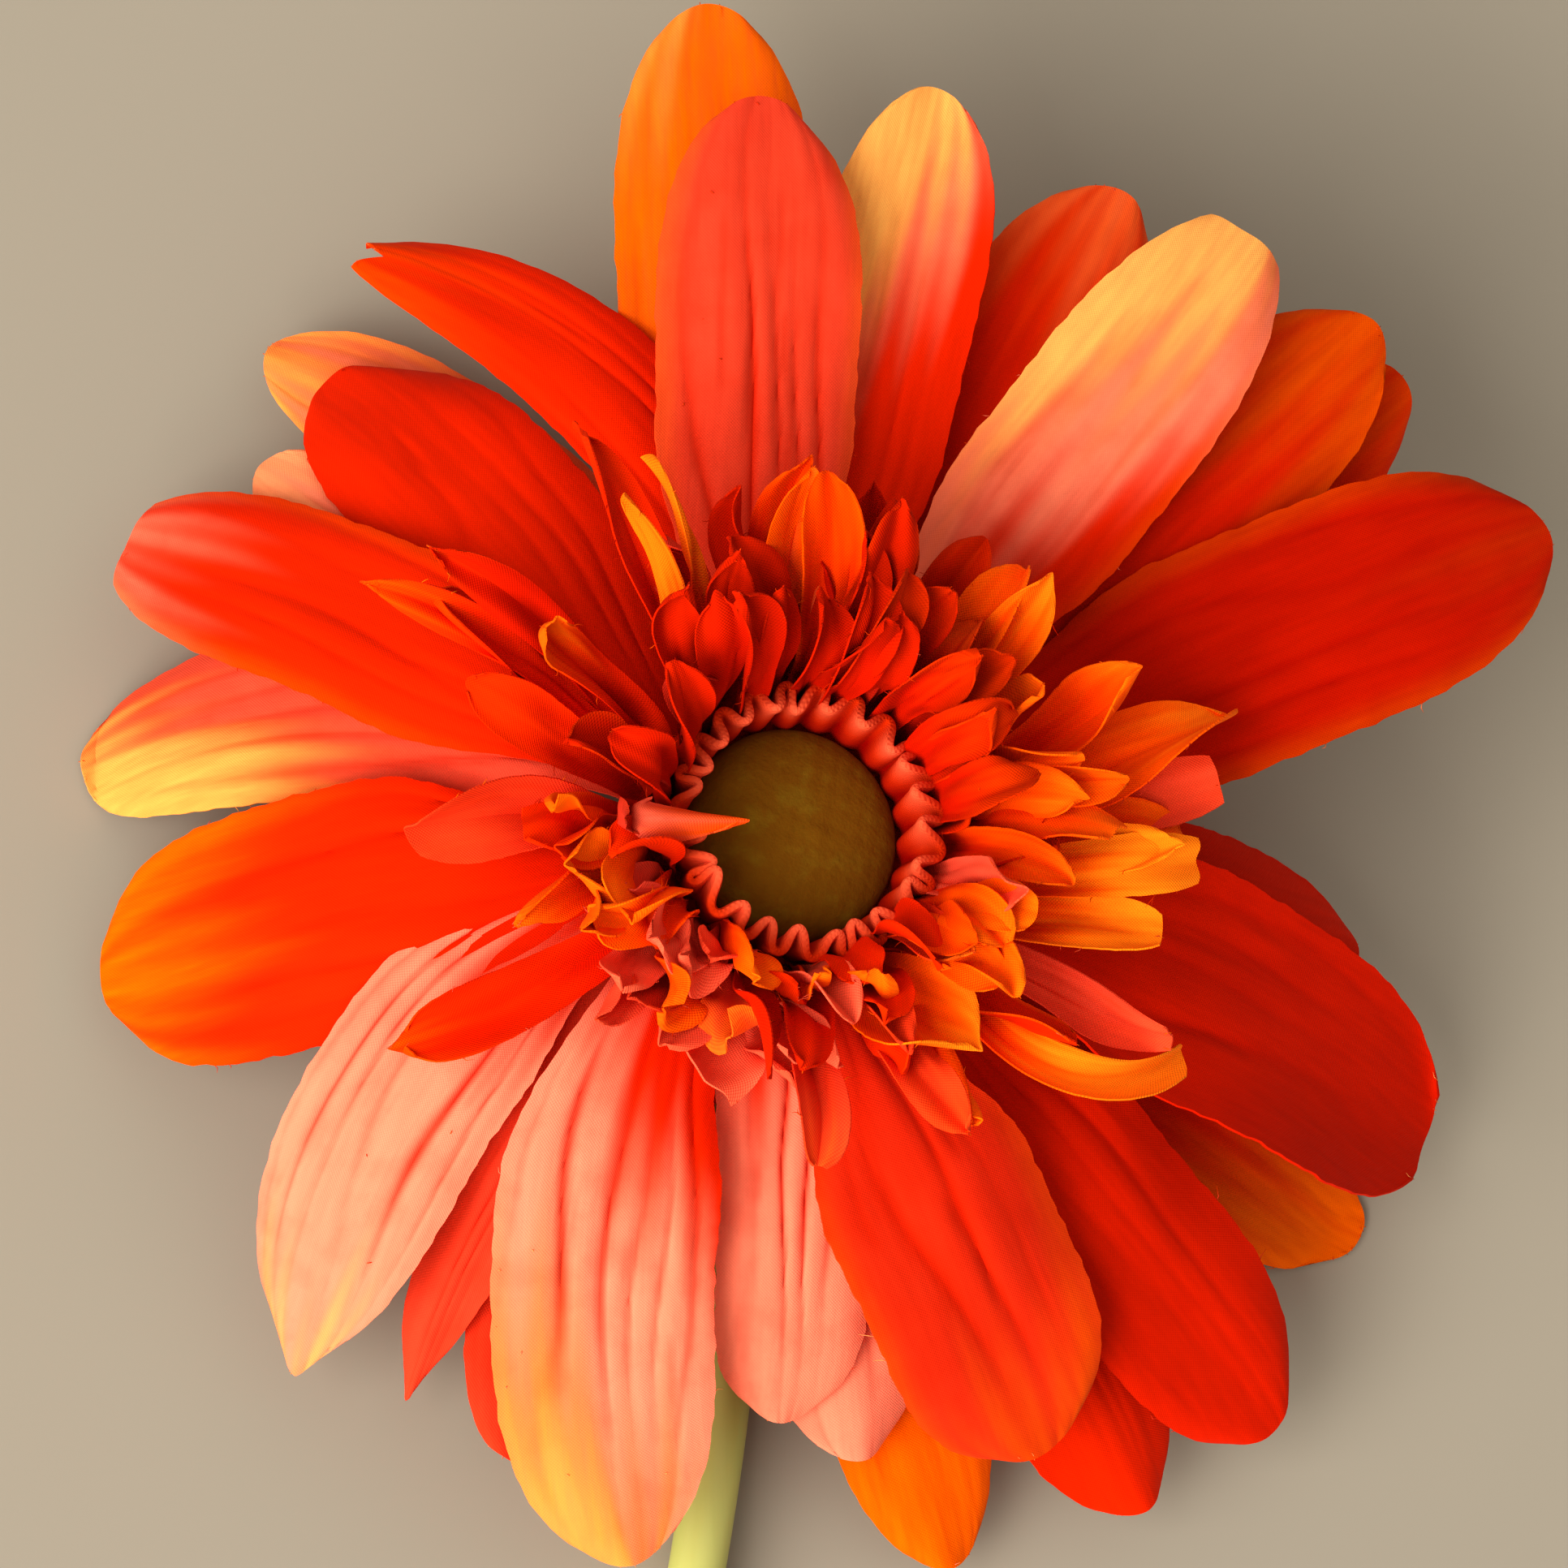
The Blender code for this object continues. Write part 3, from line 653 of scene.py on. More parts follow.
outerFlorets = [
    yellow(4, 30, 37, 5.2, tip="point", twist=25, curl=0.5, goldFrom=0.8),
    red(18, 25, 38, tip="point", rim=0.7),
    orange(42, 26.5, 36, 5.6, tip="point", roll=-18, twist=-20, curl=0.5),
    red(57, 31, 35, twist=35, curl=-0.5, side=0.3, rim=0.8),
    orange(69, 35.5, 35, 8, heading=74.5, reach=37, tip="point", sway=10, swing=0, roll=-25, hook=-45,
        curl=0.6, shoulder=0.5, gold=0.6),
    salmon(84, 34.5, 33, 5.5, heading=86, reach=33, tip="square", roll=-15, twist=30, blunt=0.7,
        pink=0.2),
    yellow(95, 30, 35, 4.4, tip="point", roll=25, curl=0.4),
    salmon(120, 33.5, 31, 4.4, tip="square", roll=20, fold=20, pleats=5, pleat=0.25, blunt=0.6, pink=0.2),
    orange(148, 28, 30, 2.6, twist=70, hook=60, ruffle=0.6, ruffleTurns=13),
    salmon(199, 22, 29, 7, tip="square", hook=35, ruffle=0.9, ruffleTurns=12, blunt=0.8, pink=0.5),
    red(228, 24.5, 32, 4, fold=30, curl=0.9, ruffle=0.6, pink=0.3, shade=0),
    red(241, 33, 23, 6, -30, heading=238, reach=34.5, tip="point", swing=4, roll=0, twist=0, hook=10,
        hookFrom=0.85, curl=0.6, blunt=0.15, dye=0.9, dyeFrom=1.0, shade=0),
    orange(256, 24, 33, fold=30, shade=0.3),
    salmon(273, 30.5, 30, 7.5, roll=-10, curl=-0.3, blunt=0.6, pink=0.1),
    orange(299, 34, 31, 6, tip="point", roll=30, twist=10, dye=0.5, dyeFrom=0.9, gold=0),
    red(310, 36, 33, tip="point", side=0.2, rim=0.8),
    red(327, 35.5, 35, 5.5, tip="point", fold=25, shoulder=0.45, blunt=0.1, shade=0.05),
    red(352, 28.5, 37, 5.2, tip="point", dye=0.9, dyeFrom=0.8, shade=0.1),
]
outerExtras = [
    orange(45, 26.4, 38, 5, tip="point", twist=25, pleats=5, gold=0.6),
    orange(67, 32.4, 36, 6.5, roll=-30, hook=75, hookFrom=0.5, fold=30, curl=0.4, dye=0.6, rim=1),
    orange(83, 24.1, 38, twist=50, fold=45),
    orange(88, 30.8, 34, 5, dye=0.7),
    yellow(155, 35.2, 29.5, 4.4, fall=-20, sway=-28, swing=-37, roll=0, twist=0, hook=-20, hookFrom=0.6,
        curl=1.2, shoulder=0.85, blunt=0.85),
    salmon(188, 21, 30, 6, hook=45, ruffle=0.9, ruffleTurns=13, blunt=0.7, pink=0.4),
    orange(243, 22.9, 36, 5, hook=60, fold=35),
    red(308, 36, 35, 4.2, tip="point", dye=0.6, dyeFrom=1),
    orange(303, 39, 32, 3.4, tip="point", roll=30, dye=0.7, dyeFrom=0.9, gold=0),
    yellow(334, 30.4, 39, 2, sway=0, swing=0, roll=80, twist=0, fold=0, curl=0, gold=0.6, goldFrom=0.5),
    yellow(327, 28.2, 39, 2.6, sway=0, swing=0, roll=-75, twist=0, hook=-25, fold=0, curl=0, gold=0.5,
        goldFrom=0.5),
    red(12, 27, 36, 5, tip="point"),
    red(30, 26, 36, 5, dye=0.4),
    yellow(105, 29, 33, 5, tip="square", fold=20, blunt=0.6),
    red(134, 27, 32, 5, rim=0.7, shade=0.1),
    red(160, 20.5, 32, 5, ruffle=0.6, shade=0.1),
    salmon(180, 20, 32, 5, hook=45, ruffle=0.8),
    red(212, 21, 32, 5, ruffle=0.6, pink=0.3, shade=0),
    red(266, 22, 34, 5, tip="square", blunt=0.7, shade=0),
    red(286, 28, 33, 5, shade=0.1),
    red(345, 27, 35, 5, tip="point"),
]
middleFlorets = [
    red(26, 20.5, 39, hook=40, dye=0.4),
    red(54, 21, 39, tip="point", blunt=0.1, dye=0.7, dyeFrom=0.8),
    orange(66, 21, 39, hook=50, fold=25, dye=0.7),
    orange(81, 20.5, 39, tip="point", dye=0.8),
    red(113, 24, 36, 3.4, rim=1),
    orange(130, 20.5, 38, curl=0.6, blunt=0.6),
    yellow(144, 22.5, 34.5, 10, tip="point", sway=24, roll=30, twist=-30, hook=20, fold=30,
        goldFrom=0.85),
    salmon(231, 20.5, 37, twist=50, ruffle=0.8),
    yellow(254, 20, 37, 8, tip="square", roll=-40, twist=45, fold=30, gold=0.3, goldFrom=0.6),
    orange(272, 21, 38, 3, roll=70),
    red(292, 20.5, 38, hook=75, hookFrom=0.6, fold=25, pink=0.5),
    orange(307, 25, 38, heading=301, reach=28.5, tip="square", swing=0, hook=60, fold=30, blunt=0.6,
        dyeFrom=0.75, gold=0.4),
    red(320, 21.5, 40, tip="point", blunt=0.1),
    red(334, 22, 41, tip="point", blunt=0.1),
]
middleExtras = [
    red(20, 16.6, 41, hook=50),
    orange(92, 23, 39, 5, tip="square", blunt=0.7, dye=0.6),
    yellow(95, 30.5, 36, 5, tip="square", swing=0, twist=20, blunt=0.7),
    orange(120, 17.7, 40, blunt=0.6),
    salmon(178, 16.3, 36, 5, ruffle=0.7),
    salmon(180, 19.8, 32, 5, hook=40, ruffle=0.7),
    yellow(245, 16.5, 38.5, 8, tip="square", roll=35, fold=25, gold=0.3, goldFrom=0.8),
    orange(240, 18.4, 39, 5.5, roll=-35, fold=30),
    orange(356, 26.5, 40, 5.4, sway=-9, roll=0, twist=8, pleats=5, pleat=0.3, gold=0, pink=0.4),
    red(0, 25.4, 41, 5.4, sway=8, roll=0, twist=-8, dye=0.5, rim=0.8, shade=0),
    red(16, 24.1, 41, rim=0.5),
    red(45, 19, 39, dye=0.6),
    orange(72, 21, 38, fold=25),
    orange(103, 20, 38, dye=0.7, rim=1),
    orange(137, 19, 37, twist=40),
    red(160, 18, 36, ruffle=0.6, shade=0.1),
    orange(202, 19, 35, 6, hook=40, ruffle=0.9, ruffleTurns=13, dye=0.7, pink=0.3),
    orange(217, 19.5, 36, 6, hook=40, ruffle=0.9, ruffleTurns=14, dye=0.5),
    red(263, 20, 37, rim=0.6, shade=0),
    red(283, 20, 38, rim=0.5),
    red(344, 22, 40, tip="point"),
    red(8, 22, 40, 4.2, tip="point"),
]
innerFlorets = [
    red(1, 15, 42, tip="point"),
    red(39, 16, 42, tip="point", dye=0.5),
    salmon(113, 16.5, 41, pleats=4, pleat=0.3, blunt=0.6, pink=0.35),
    orange(164, 15.5, 38, hook=60, ruffle=0.6),
    orange(180, 14.5, 38, 3, twist=60),
    red(195, 14.2, 37, ruffle=0.7, shade=0.1),
    salmon(219, 15.2, 38, 6, hook=50, ruffle=1, ruffleTurns=14),
    red(343, 16.5, 42, tip="point"),
]
innerExtras = [
    orange(129, 17, 40, dye=0.8),
    red(140, 16, 39, dye=0.6, shade=0.1),
    orange(205, 14.9, 38, 5, hook=50, fold=40),
    salmon(227, 16, 38, 6, hook=45, ruffle=1, ruffleTurns=14),
    salmon(262, 5.6, 34.5, 4.3, rise=55, fall=-168, hold=1.25, sway=10, swing=0, roll=0, twist=0, hook=0,
        curl=0.6, shoulder=0.3, blunt=0.1, dye=1, dyeFrom=0.8),
    red(323, 18, 42, tip="point"),
    red(333, 18, 42, tip="point"),
    red(19, 18.5, 42, dye=0.4),
    red(17, 15.5, 42, hook=55),
    red(7, 17.5, 42, tip="point"),
    red(57, 16, 41, dye=0.5),
    red(88, 16, 41, dye=0.6),
    red(151, 15, 38, ruffle=0.5, shade=0.1),
    red(263, 15, 40, shade=0.1),
    red(285, 16, 41),
    red(212, 13.5, 36, ruffle=0.7, pink=0.2, shade=0),
    red(236, 14, 37, ruffle=0.5, dye=0.6, shade=0),
    red(170, 14, 36, ruffle=0.6, shade=0),
    red(302, 16.5, 41),
]
collars = dict(
    collar_outer=dict(count=18, hub=11.2, reach=(22, 27), height=(30, 35), rise=48, fall=6, roll=34,
                      seed=5, lean=0.3, florets=outerFlorets, extras=outerExtras),
    collar_middle=dict(count=18, hub=10.3, reach=(18, 21), height=(36, 40), rise=60, fall=30, roll=22,
                       seed=8, lean=0.8, florets=middleFlorets, extras=middleExtras),
    collar_inner=dict(count=16, hub=9.4, reach=(14.2, 16.5), height=(38, 42), rise=68, fall=58, roll=16,
                      seed=13, lean=1, florets=innerFlorets, extras=innerExtras),
)
leaning = dict(heading=245, reach=2.2, drop=5, rise=16)  # the lower left is pressed outwards


def facing(blade, heading):  # the cosine between two headings
    return math.cos(math.radians(blade["heading"] - heading))


def collarBlades(name):
    ring = collars[name]
    draw = random.Random(ring["seed"])
    step = 360 / ring["count"]
    blades = [floret(index * step + eitherWay(draw, 3), mix(ring["reach"], draw.random()),
                     mix(ring["height"], draw.random()), draw.uniform(4.0, 4.8))
              for index in range(ring["count"])]
    for longOne in ring["florets"]:
        blades[round(longOne["heading"] / step) % ring["count"]] = dict(longOne)
    for blade in blades:
        blade["rise"] = ring["rise"] + eitherWay(draw, 3)
        if blade["fall"] == 10:
            blade["fall"] = ring["fall"] + eitherWay(draw, 12)
        blade["sway"] = eitherWay(draw, 3)
        blade["roll"] = eitherWay(draw, ring["roll"])
        blade["tip"] = draw.choice(["round", "square", "point"])
    for blade in ring["extras"]:
        blades.append(dict(blade, rise=ring["rise"] + eitherWay(draw, 6), sway=eitherWay(draw, 13),
                           roll=eitherWay(draw, ring["roll"])))
    for blade in blades:
        styleFloret(blade, draw)
        if blade["reach"] > ring["hub"]:  # all but the one that folds over the ring
            lean = ring["lean"] * max(0, facing(blade, leaning["heading"])) ** 2
            blade["reach"] += leaning["reach"] * lean
            blade["height"] -= leaning["drop"] * lean
            blade["rise"] -= leaning["rise"] * lean
    return blades


def styleFloret(blade, draw):  # each floret's own twist, curl, ruffle and dye, with painted light and painted shade in its colours
    right, top = facing(blade, 85) * 0.5 + 0.5, facing(blade, 350) * 0.5 + 0.5
    inner = blade["reach"] < 22
    blade.update(
        twist=eitherWay(draw, 60), swing=eitherWay(draw, 7), hook=draw.uniform(-45, 50),
        curl=draw.uniform(-0.25, 0.35), fold=draw.choice([0, 10, 18, 32]), ruffle=draw.uniform(0.1, 0.4),
        pleat=draw.uniform(0.08, 0.2), point=draw.uniform(1.1, 1.9),
        # part painted light: orange and gold grow on the lit right-hand side and orange fades at the top,
        # over random dye; the rim is part painted edge highlight
        dye=min(1, max(0, draw.uniform(0.1, 0.45) + 0.6 * right ** 3 - 0.4 * top ** 2 - 0.3 * inner)),
        dyeFrom=draw.uniform(0.35, 0.7) + 0.15, rim=draw.choice([0, 0, 0.3]) * (1 - 0.6 * top),
        gold=draw.choice([0, 0, 0.3, 0.7]) * right, goldFrom=draw.uniform(0.75, 1.0),
        # the pink, part dye and part painted sheen, keeps off the right-hand side
        pink=draw.uniform(0, 0.4) * (1 - right),
        # painted shade: darker at the top and on the inner florets, which lie in the pit's shade
        shade=draw.uniform(0, 0.15) + 0.1 * top + inner * (0.15 + 0.45 * top) * (1 - 0.5 * right),
        wobble=draw.uniform(0.2, 0.6), blunt=draw.uniform(0.1, 0.4), creases=5,
    )
    blade.update(blade["look"])


# Finishes of the other pieces

stemColours = dict(
    light=screen(192, 194, 112), dark=screen(164, 168, 78), roughness=0.4, shine=0.4,
    stretch=(1, 0.08, 1), streakScale=400.0, cloudScale=60.0, poreScale=1800.0, grain=0.15,
    relief=0.3, reliefDepth=0.0001,
)
calyxColours = dict(stemColours, light=screen(128, 144, 66), dark=screen(92, 110, 44), roughness=0.55,
                    stretch=(1, 1, 0.2), grain=0.4)
discColours = dict(
    brown=screen(114, 76, 8), olive=screen(126, 106, 24), dark=screen(104, 64, 6), roughness=0.9,
    shine=0.1, sheen=0.25, sheenRoughness=0.5, sheenColour=screen(190, 150, 60),
    mottleScale=420.0, cloudScale=150.0, fibreScale=3200.0, relief=0.6, reliefDepth=0.00015,
)
wireColours = dict(bright=screen(170, 168, 164), dull=screen(110, 104, 98), roughness=0.35,
                   metal=1.0, drawnScale=900.0)


def plasticFinish(name, look):
    material, start, shader = newFinish(name, look)
    streaks = start.stretched(look["stretch"]).noise(look["streakScale"], 4.0)
    clouds = start.noise(look["cloudScale"], 2.0)
    dark = ((streaks - 0.35) * 1.2 + (clouds - 0.5) * 0.8).limit()
    feed(shader, "Base Color", start.colour(look["light"]).mixed(dark, look["dark"]))
    feed(shader, "Roughness", look["roughness"] + (clouds - 0.5) * 0.2)
    pores = start.noise(look["poreScale"], 2.0)
    feed(shader, "Normal", (streaks * 0.7 + pores * look["grain"]).bump(look))
    return material


def feltFinish(name, look):
    material, start, shader = newFinish(name, look)
    mottle, clouds = start.noise(look["mottleScale"], 4.0), start.noise(look["cloudScale"], 2.0)
    fibres = start.noise(look["fibreScale"], 3.0)
    base = start.colour(look["brown"]).mixed(((mottle - 0.5) * 2.5).limit(), look["olive"])
    # painted shade: the felt is darker where its fibres' relief sinks, and in random clouds
    base = base.mixed(((clouds - 0.52) * 2 + (0.5 - fibres) * 0.8).limit(), look["dark"])
    feed(shader, "Base Color", base)
    feed(shader, "Normal", (fibres * 0.8 + mottle * 0.6).bump(look))
    return material


def wireFinish(name, look):
    material, start, shader = newFinish(name, look)
    drawn = start.noise(look["drawnScale"], 3.0)
    dull = ((drawn - 0.4) * 1.5).limit()
    feed(shader, "Base Color", start.colour(look["bright"]).mixed(dull, look["dull"]))
    feed(shader, "Roughness", 0.28 + drawn * 0.25)
    return material


slotFinishes = dict(
    ray_cloth=(clothFinish, clothLook), collar_cloth=(clothFinish, collarLook),
    tooth_cloth=(clothFinish, toothLook), stem_plastic=(plasticFinish, stemColours),
    calyx_plastic=(plasticFinish, calyxColours), disc_felt=(feltFinish, discColours),
    wire=(wireFinish, wireColours),
)
finishes = {slot: makeFinish(slot, look) for slot, (makeFinish, look) in slotFinishes.items()}
blankSizes = dict(petal=(52, 76), floret=(16, 44), hub=(96, 3))  # columns across and rows along
petalBlank, floretBlank, hubBlank = (
    makeBlank(name + "_blank", columns, rows) for name, (columns, rows) in blankSizes.items())


# Stem, wire and calyx

stemLook = dict(radius=2.25, bore=1.15, boreDepth=7, rim=0.12, rimDepth=0.06, sides=9, steps=14)
stemRoute = [  # arriving handle, point and leaving handle
    ((0, 0, 12.0), (0, 0, 11.7), (0, 0, 11.4)),
    ((0, 0, 11.2), (0, 0, 10.75), (0, 0, 6.075)),
    ((0, -3.825, 2.25), (0, -8.5, 2.25), (0, -20.5, 2.25)),
    ((0.6, -32, 2.25), (0, -40, 2.25), (-1.5, -50, 2.25)),
    ((-5, -66, 2.25), (-9, -80, 2.25), (-14, -98, 2.25)),
    ((-20, -118, 2.25), (-24, -135, 2.25), (-28, -152, 2.25)),
    ((-31, -170, 2.25), (-31, -184, 2.25), (-31, -186, 2.25)),
]


def makeStem():
    stem = newCurve("stem_tube")
    spline = stem.data.splines[0]
    spline.bezier_points.add(len(stemRoute) - 2)
    for point, (arrive, place, leave) in zip(spline.bezier_points, stemRoute):
        point.handle_left_type = point.handle_right_type = "FREE"
        point.handle_left, point.co, point.handle_right = (
            Vector((x + axisX, y + axisY, z)) * mm for x, y, z in (arrive, place, leave))
    stem.data.resolution_u = stemLook["steps"]
    drawOut(stem, stemLook["radius"], stemLook["sides"])
    weld(stem)
    editMode()
    bpy.ops.mesh.select_mode(type="FACE")
    bpy.ops.mesh.select_all(action="DESELECT")
    objectMode()
    cutEnd = stemRoute[-1][1][1] + axisY
    for face in stem.data.polygons:
        face.select = face.normal.y < -0.99 and face.center.y / mm < cutEnd + 0.1
    editMode()
    bpy.ops.mesh.inset(thickness=stemLook["rim"] * mm)  # the cut's soft rim, then the wall and bore
    bpy.ops.transform.translate(value=(0, -stemLook["rimDepth"] * mm, 0))
    bpy.ops.mesh.inset(thickness=(stemLook["radius"] - stemLook["bore"] - stemLook["rim"]) * mm)
    bpy.ops.mesh.extrude_region_move(TRANSFORM_OT_translate={"value": (0, stemLook["boreDepth"] * mm, 0)})
    objectMode()
    smoothShade(40)
    finishPiece(stem, "stem", "stem_plastic")


def turned(name, profile, sides):  # rings drawn out one from another, by radius and height
    deselect()
    radius, height = profile[0]
    bpy.ops.mesh.primitive_circle_add(vertices=sides, radius=radius * mm,
                                      location=(axisX * mm, axisY * mm, height * mm))
    piece = bpy.context.object
    piece.name = name
    bpy.ops.object.transform_apply(location=True, rotation=False, scale=False)
    editMode()
    bpy.ops.mesh.select_mode(type="VERT")
    bpy.ops.mesh.select_all(action="SELECT")
    for (radius, height), (nextRadius, nextHeight) in zip(profile, profile[1:]):
        drop = (nextHeight - height) * mm
        bpy.ops.mesh.extrude_region_move(TRANSFORM_OT_translate={"value": (0, 0, drop)})
        share = nextRadius / radius
        bpy.ops.transform.resize(value=(share, share, 1),
                                 center_override=(axisX * mm, axisY * mm, nextHeight * mm))
    bpy.ops.mesh.edge_face_add()  # closes the last ring, then the first
    bpy.ops.mesh.select_all(action="DESELECT")
    objectMode()
    for vert in piece.data.vertices[:sides]:
        vert.select = True
    editMode()
    bpy.ops.mesh.edge_face_add()
    bpy.ops.mesh.select_all(action="SELECT")
    bpy.ops.mesh.normals_make_consistent(inside=False)
    objectMode()
    addCut(piece.data)
    return piece


def subdivide(piece, levels):
    choose(piece)
    finer = piece.modifiers.new("finer", "SUBSURF")
    finer.levels = finer.render_levels = levels
    bpy.ops.object.modifier_apply(modifier="finer")
    smoothShade(50)


calyxLook = dict(
    cup=[(2.6, 12.9), (2.6, 16.3), (2.8, 16.5), (8.0, 16.5), (8.2, 16.3), (8.2, 15.8), (7.95, 15.0),
         (7.6, 14.2), (7.15, 13.2), (6.6, 12.2), (5.95, 11.2), (5.3, 10.4), (4.8, 9.75), (4.4, 9.2),
         (4.15, 8.75), (3.9, 8.5), (3.4, 8.5), (3.25, 8.7), (2.55, 10.5), (2.55, 12.0)],
    sides=64, seed=4, bracts=8, rows=[(9.1, 14.9, 10.6), (8.3, 12.6, 9.6)], root=3.9, foot=4.6,
    thickness=0.6,
    bract=dict(width=4.2, rise=34, fall=62, channel=-0.5, wave=0, claw=0.8, belly=0.3, shoulder=0.3,
               blunt=0.12, tip="point", pleats=3, pleat=0.08, wobble=0.08, ruffle=0, creases=2, frays=0),
)


def makeCalyx():
    draw = random.Random(calyxLook["seed"])
    cup = turned("calyx_cup", calyxLook["cup"], calyxLook["sides"])
    parts = []
    for row, (reach, height, rootHeight) in enumerate(calyxLook["rows"]):
        for index in range(calyxLook["bracts"]):
            heading = (index + row / 2) * 360 / calyxLook["bracts"]
            part = copyOf(floretBlank, "bract")
            bract = ray(heading, reach, height, **calyxLook["bract"])
            shapeBlade(bract, part.data, rootHeight, calyxLook["root"], calyxLook["foot"], draw)
            parts.append(part)
    bracts = joined(parts, "bracts")
    thicken(bracts, calyxLook["thickness"])
    calyx = joined([cup, bracts], "calyx_cup")
    choose(calyx)
    smoothShade(45)
    finishPiece(calyx, "calyx", "calyx_plastic")


makeStem()
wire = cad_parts["wire_core"].data
wire.materials.clear()
wire.materials.append(finishes["wire"])
makeCalyx()


# The cloth layers, from the calyx up

layers = dict(lowest=17.3, step=1.3, rayRoot=6.0, rayHub=11.0, collarLap=3)
for index, node in enumerate([*rays, *collars]):
    level = layers["lowest"] + index * layers["step"]
    if node in rays:
        layer = makeLayer(node, rays[node], petalBlank, level, layers["rayRoot"], layers["rayHub"],
                          "ray_cloth")
    else:
        hub = collars[node]["hub"]
        layer = makeLayer(node, collarBlades(node), floretBlank, level, hub - layers["collarLap"], hub,
                          "collar_cloth")


# The crimped ring and the disc

ringLook = dict(
    base=9.2, flare=0.75, foot=25.9, height=6.4, teeth=23, crimp=0.72, footCrimp=0.25, thickness=0.8,
    bulge=0.06, aside=0.2, deep=(0.6, 1.3), tall=0.7, columns=12, rows=9, seed=31, clothPerTooth=0.36,
)
discLook = dict(
    profile=[(0.6, 29.08), (1.8, 29.04), (3.3, 28.95), (4.8, 28.78), (6.1, 28.5), (7.15, 28.1),
             (7.9, 27.6), (8.35, 27.1), (8.5, 26.6), (8.5, 25.95), (8.35, 25.9), (2.4, 25.9),
             (2.3, 25.8), (2.3, 13.3), (2.2, 13.2)],
    sides=96, dimple=0.035, topFrom=26.4, nub=0.22, nubPlace=(1.4, -0.2), nubSpread=0.9,
)


def makeRing():
    ring = copyOf(ringBlank, "bead_ring_strip")
    draw = random.Random(ringLook["seed"])
    teeth = ringLook["teeth"]
    sway = [eitherWay(draw, ringLook["aside"]) for _ in range(teeth)]
    deep = [draw.uniform(*ringLook["deep"]) for _ in range(teeth)]
    tall = [eitherWay(draw, ringLook["tall"]) for _ in range(teeth)]
    flat = readPlaces(ring.data)
    turns, up = (flat[:, 0] + 1) / 2 * teeth, (flat[:, 1] + 1) / 2
    tooth = np.floor(turns + 0.5).astype(int) % teeth
    inner = (1 + np.cos(2 * math.pi * turns)) / 2  # 1 at a fold next to the disc, 0 at an outer fold
    own = [np.array(values)[tooth] * inner for values in (sway, deep, tall)]
    fold = 1 - 2 * inner
    crimp = ringLook["footCrimp"] + (ringLook["crimp"] - ringLook["footCrimp"]) * up ** 0.8
    radius = (ringLook["base"] + ringLook["flare"] * up ** 1.5
              + crimp * fold * np.where(fold < 0, own[1] + 0.1, 1))
    bulge = ringLook["bulge"] * np.sin(4 * math.pi * turns) * up  # rounds the folds
    angle = (turns + bulge) / teeth * 2 * math.pi + own[0] * up * 0.5
    height = ringLook["foot"] + ringLook["height"] * up * (1 + 0.05 * np.cos(3 * angle + 1) * up)
    height += (0.7 * inner - 0.3 + own[2]) * smooth(0.5, 1, up)
    radius -= 0.5 * inner * smooth(0.7, 1, up) - 0.25 * (1 - inner) * smooth(0.75, 1, up)
    writeRound(ring.data, angle, radius, height)
    writeCut(ring.data, np.stack([turns * ringLook["clothPerTooth"], up * ringLook["height"] / 10], 1))
    # Painted light: the pink on the tops of the folds next to the disc is a painted sheen, and the shade,
    # deepest at the foot and on the outer folds, is painted shade; the orange grows towards the top.
    pink = 0.5 * inner * smooth(0.45, 1, up)
    shade = 0.75 * (1 - smooth(0.1, 0.8, up)) + 0.45 * (1 - inner)
    writeDyesAndPaintedLight(ring.data, np.stack([0.25 * up, 0 * up, pink, np.clip(shade, 0, 1)], 1))
    weld(ring, 0.00001)
    thicken(ring, ringLook["thickness"])
    subdivide(ring, 1)
    finishPiece(ring, "bead_ring", "tooth_cloth")


def makeDisc():
    disc = turned("disc_dome", discLook["profile"], discLook["sides"])
    subdivide(disc, 2)
    place = readPlaces(disc.data)  # in metres
    x, y = place[:, 0] / mm - axisX, place[:, 1] / mm - axisY
    top = place[:, 2] / mm > discLook["topFrom"]
    bumps = (np.sin(2.9 * x + 1.3 * y) * np.sin(2.3 * y - 1.7 * x + 2)
             + 0.5 * np.sin(5.3 * x + 1) * np.sin(6.1 * y))
    nubX, nubY = discLook["nubPlace"]
    nub = discLook["nub"] * np.exp(-((x - nubX) ** 2 + (y - nubY) ** 2) / discLook["nubSpread"])
    place[:, 2] += (discLook["dimple"] * bumps + nub) * mm * top
    disc.data.vertices.foreach_set("co", place.ravel())
    disc.data.update()
    finishPiece(disc, "disc", "disc_felt")


ringBlank = makeBlank("ring_blank", ringLook["teeth"] * ringLook["columns"], ringLook["rows"])
makeRing()
makeDisc()
for blank in (petalBlank, floretBlank, hubBlank, ringBlank):
    bpy.data.objects.remove(blank)


# Camera, light and floor

view = dict(tilt=21, lean=40, distance=800, scale=0.0625, centre=(980, 1025), frame=1932, sensor=36)


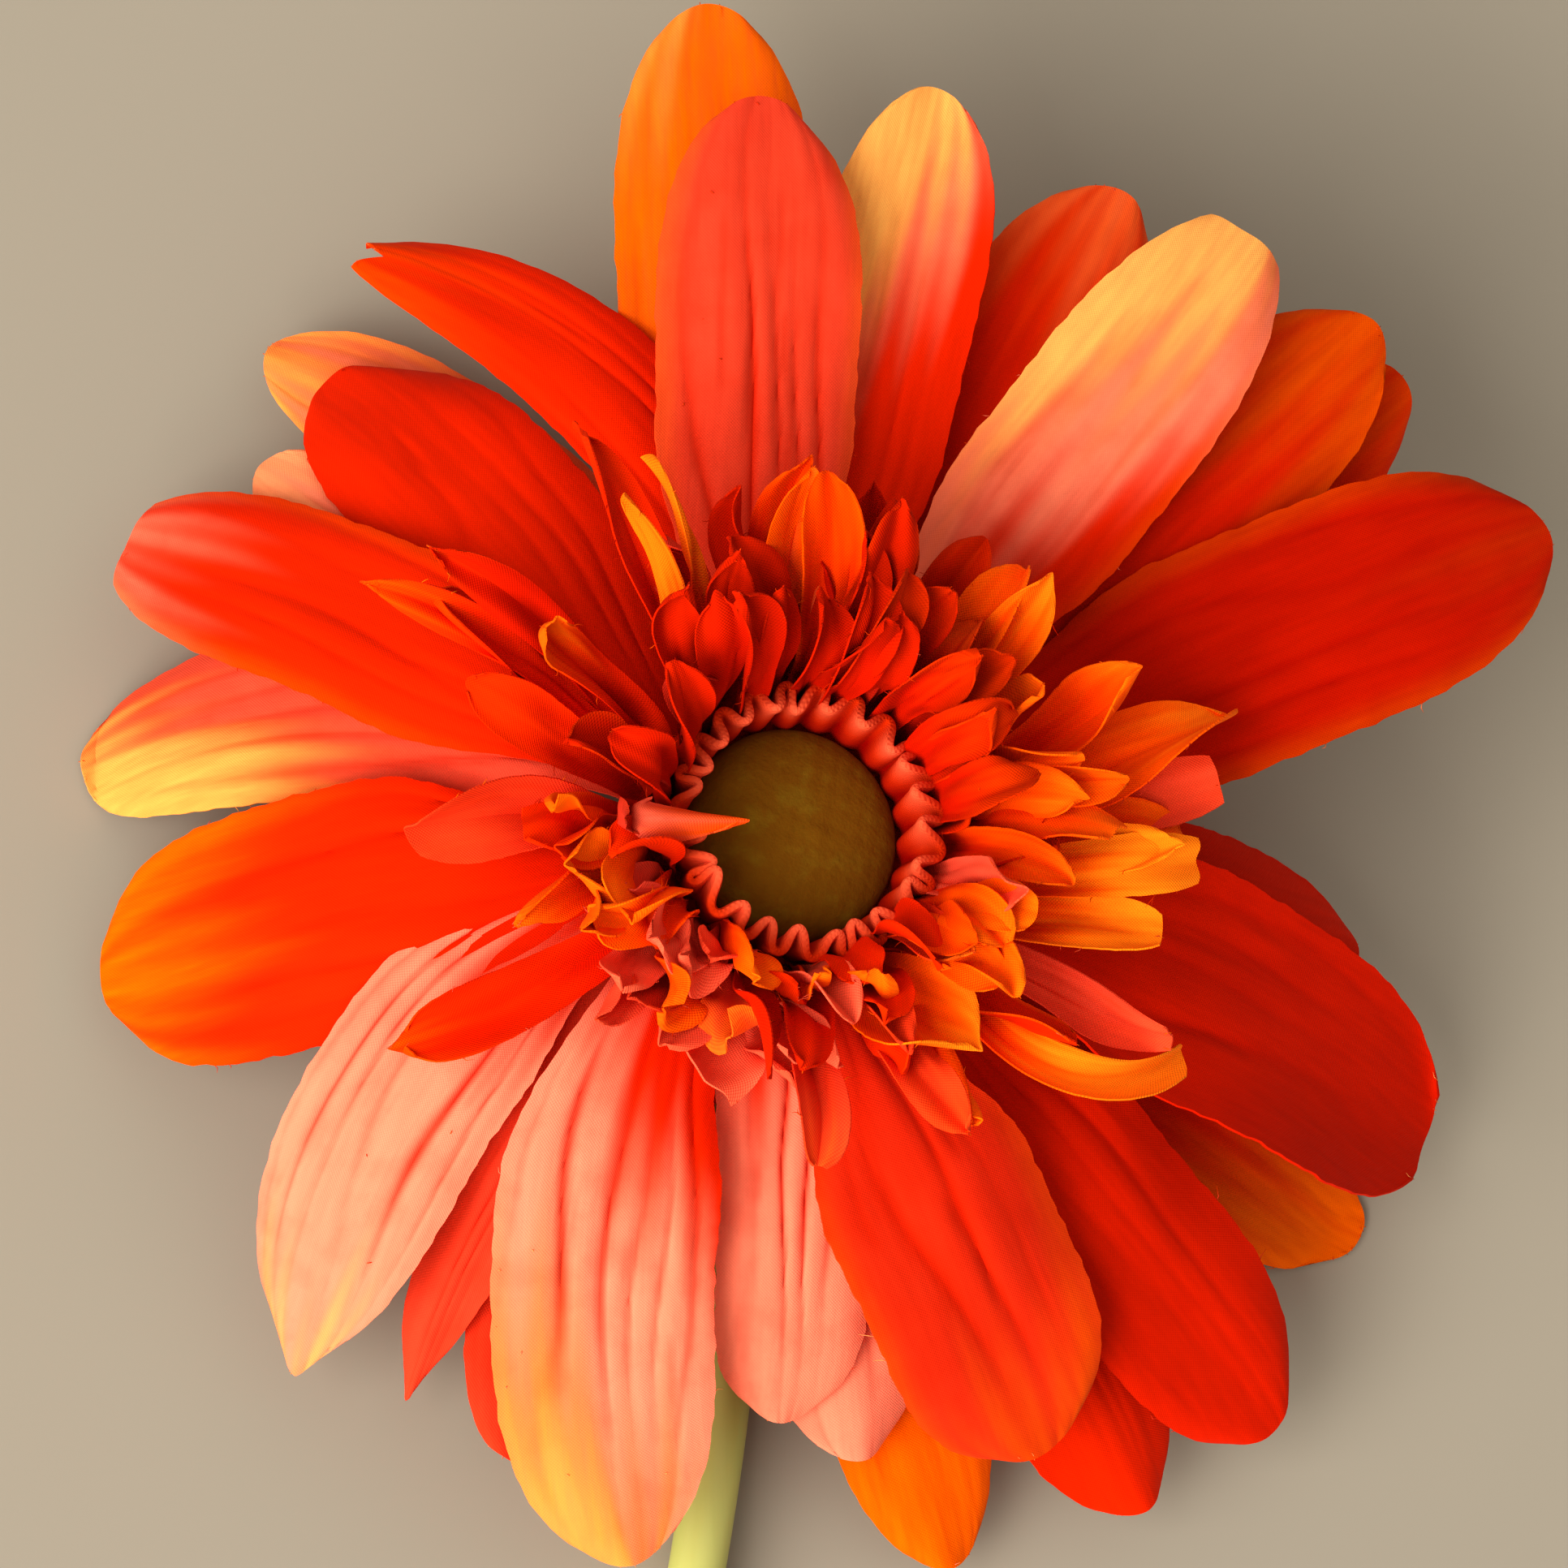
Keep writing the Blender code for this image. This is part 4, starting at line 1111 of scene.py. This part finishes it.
def placeCamera():
    tilt, lean = math.radians(view["tilt"]), math.radians(view["lean"])
    outward = Vector((math.cos(lean), math.sin(lean), 0))
    sideways = Vector((-math.sin(lean), math.cos(lean), 0))
    upward = Vector((0, 0, 1))
    back = math.cos(tilt) * upward - math.sin(tilt) * outward
    tipped = math.cos(tilt) * outward + math.sin(tilt) * upward
    right = math.cos(lean) * tipped - math.sin(lean) * sideways
    up = math.sin(lean) * tipped + math.cos(lean) * sideways
    middle = view["frame"] / 2
    aim = Vector((axisX, axisY, discTop - 1))
    aim += (right * (middle - view["centre"][0]) * view["scale"]
            + up * (view["centre"][1] - middle) * view["scale"])
    camera = newObject("camera", bpy.data.cameras.new("camera"))
    turn = Matrix((right, up, back)).transposed().to_4x4()
    turn.translation = (aim + back * view["distance"]) * mm
    camera.matrix_world = turn
    camera.data.sensor_width = view["sensor"]
    camera.data.lens = view["sensor"] * view["distance"] / (view["frame"] * view["scale"])
    camera.data.clip_start = 0.01
    bpy.context.scene.camera = camera
    return right, up, back


# Each lamp stands aside, up and back from the bloom in the camera's view. Lengths here are in metres.
lamps = dict(
    window=dict(aside=-0.7, up=-0.7, back=0.66, distance=2.2, size=2.1, energy=74,
                colour=(1, 0.97, 0.92)),
    sky=dict(aside=-0.5, up=-0.1, back=0.9, distance=1.4, size=0.9, energy=13, colour=(1, 0.97, 0.94)),
)
studio = dict(world=(1.0, 0.96, 0.9, 1), strength=0.5)
floorLook = dict(colour=screen(162, 153, 137), roughness=0.9, size=6, drop=0.0005)


def addLamp(name, look, right, up, back):
    lamp = bpy.data.lights.new(name, "AREA")
    lamp.energy, lamp.size, lamp.color = look["energy"], look["size"], look["colour"]
    obj = newObject(name, lamp)
    target = Vector((axisX, axisY, discTop)) * mm
    direction = look["aside"] * right + look["up"] * up + look["back"] * back
    obj.location = target + direction.normalized() * look["distance"]
    obj.rotation_euler = (target - obj.location).to_track_quat("-Z", "Y").to_euler()


directions = placeCamera()
for name, look in lamps.items():
    addLamp(name, look, *directions)

world = bpy.data.worlds.new("studio")
bpy.context.scene.world = world
world.use_nodes = True
background = world.node_tree.nodes["Background"].inputs
background["Color"].default_value = studio["world"]
background["Strength"].default_value = studio["strength"]
bpy.context.scene.view_settings.view_transform = "Standard"
bpy.context.scene.view_settings.look = "Medium High Contrast"

deselect()
bpy.ops.mesh.primitive_plane_add(size=floorLook["size"], location=(0, 0, -floorLook["drop"]))
floor = bpy.context.object
floor.name = "floor"
floor.data.materials.append(newFinish("pale_floor", floorLook)[0])
print("camera, lamps and floor are set")
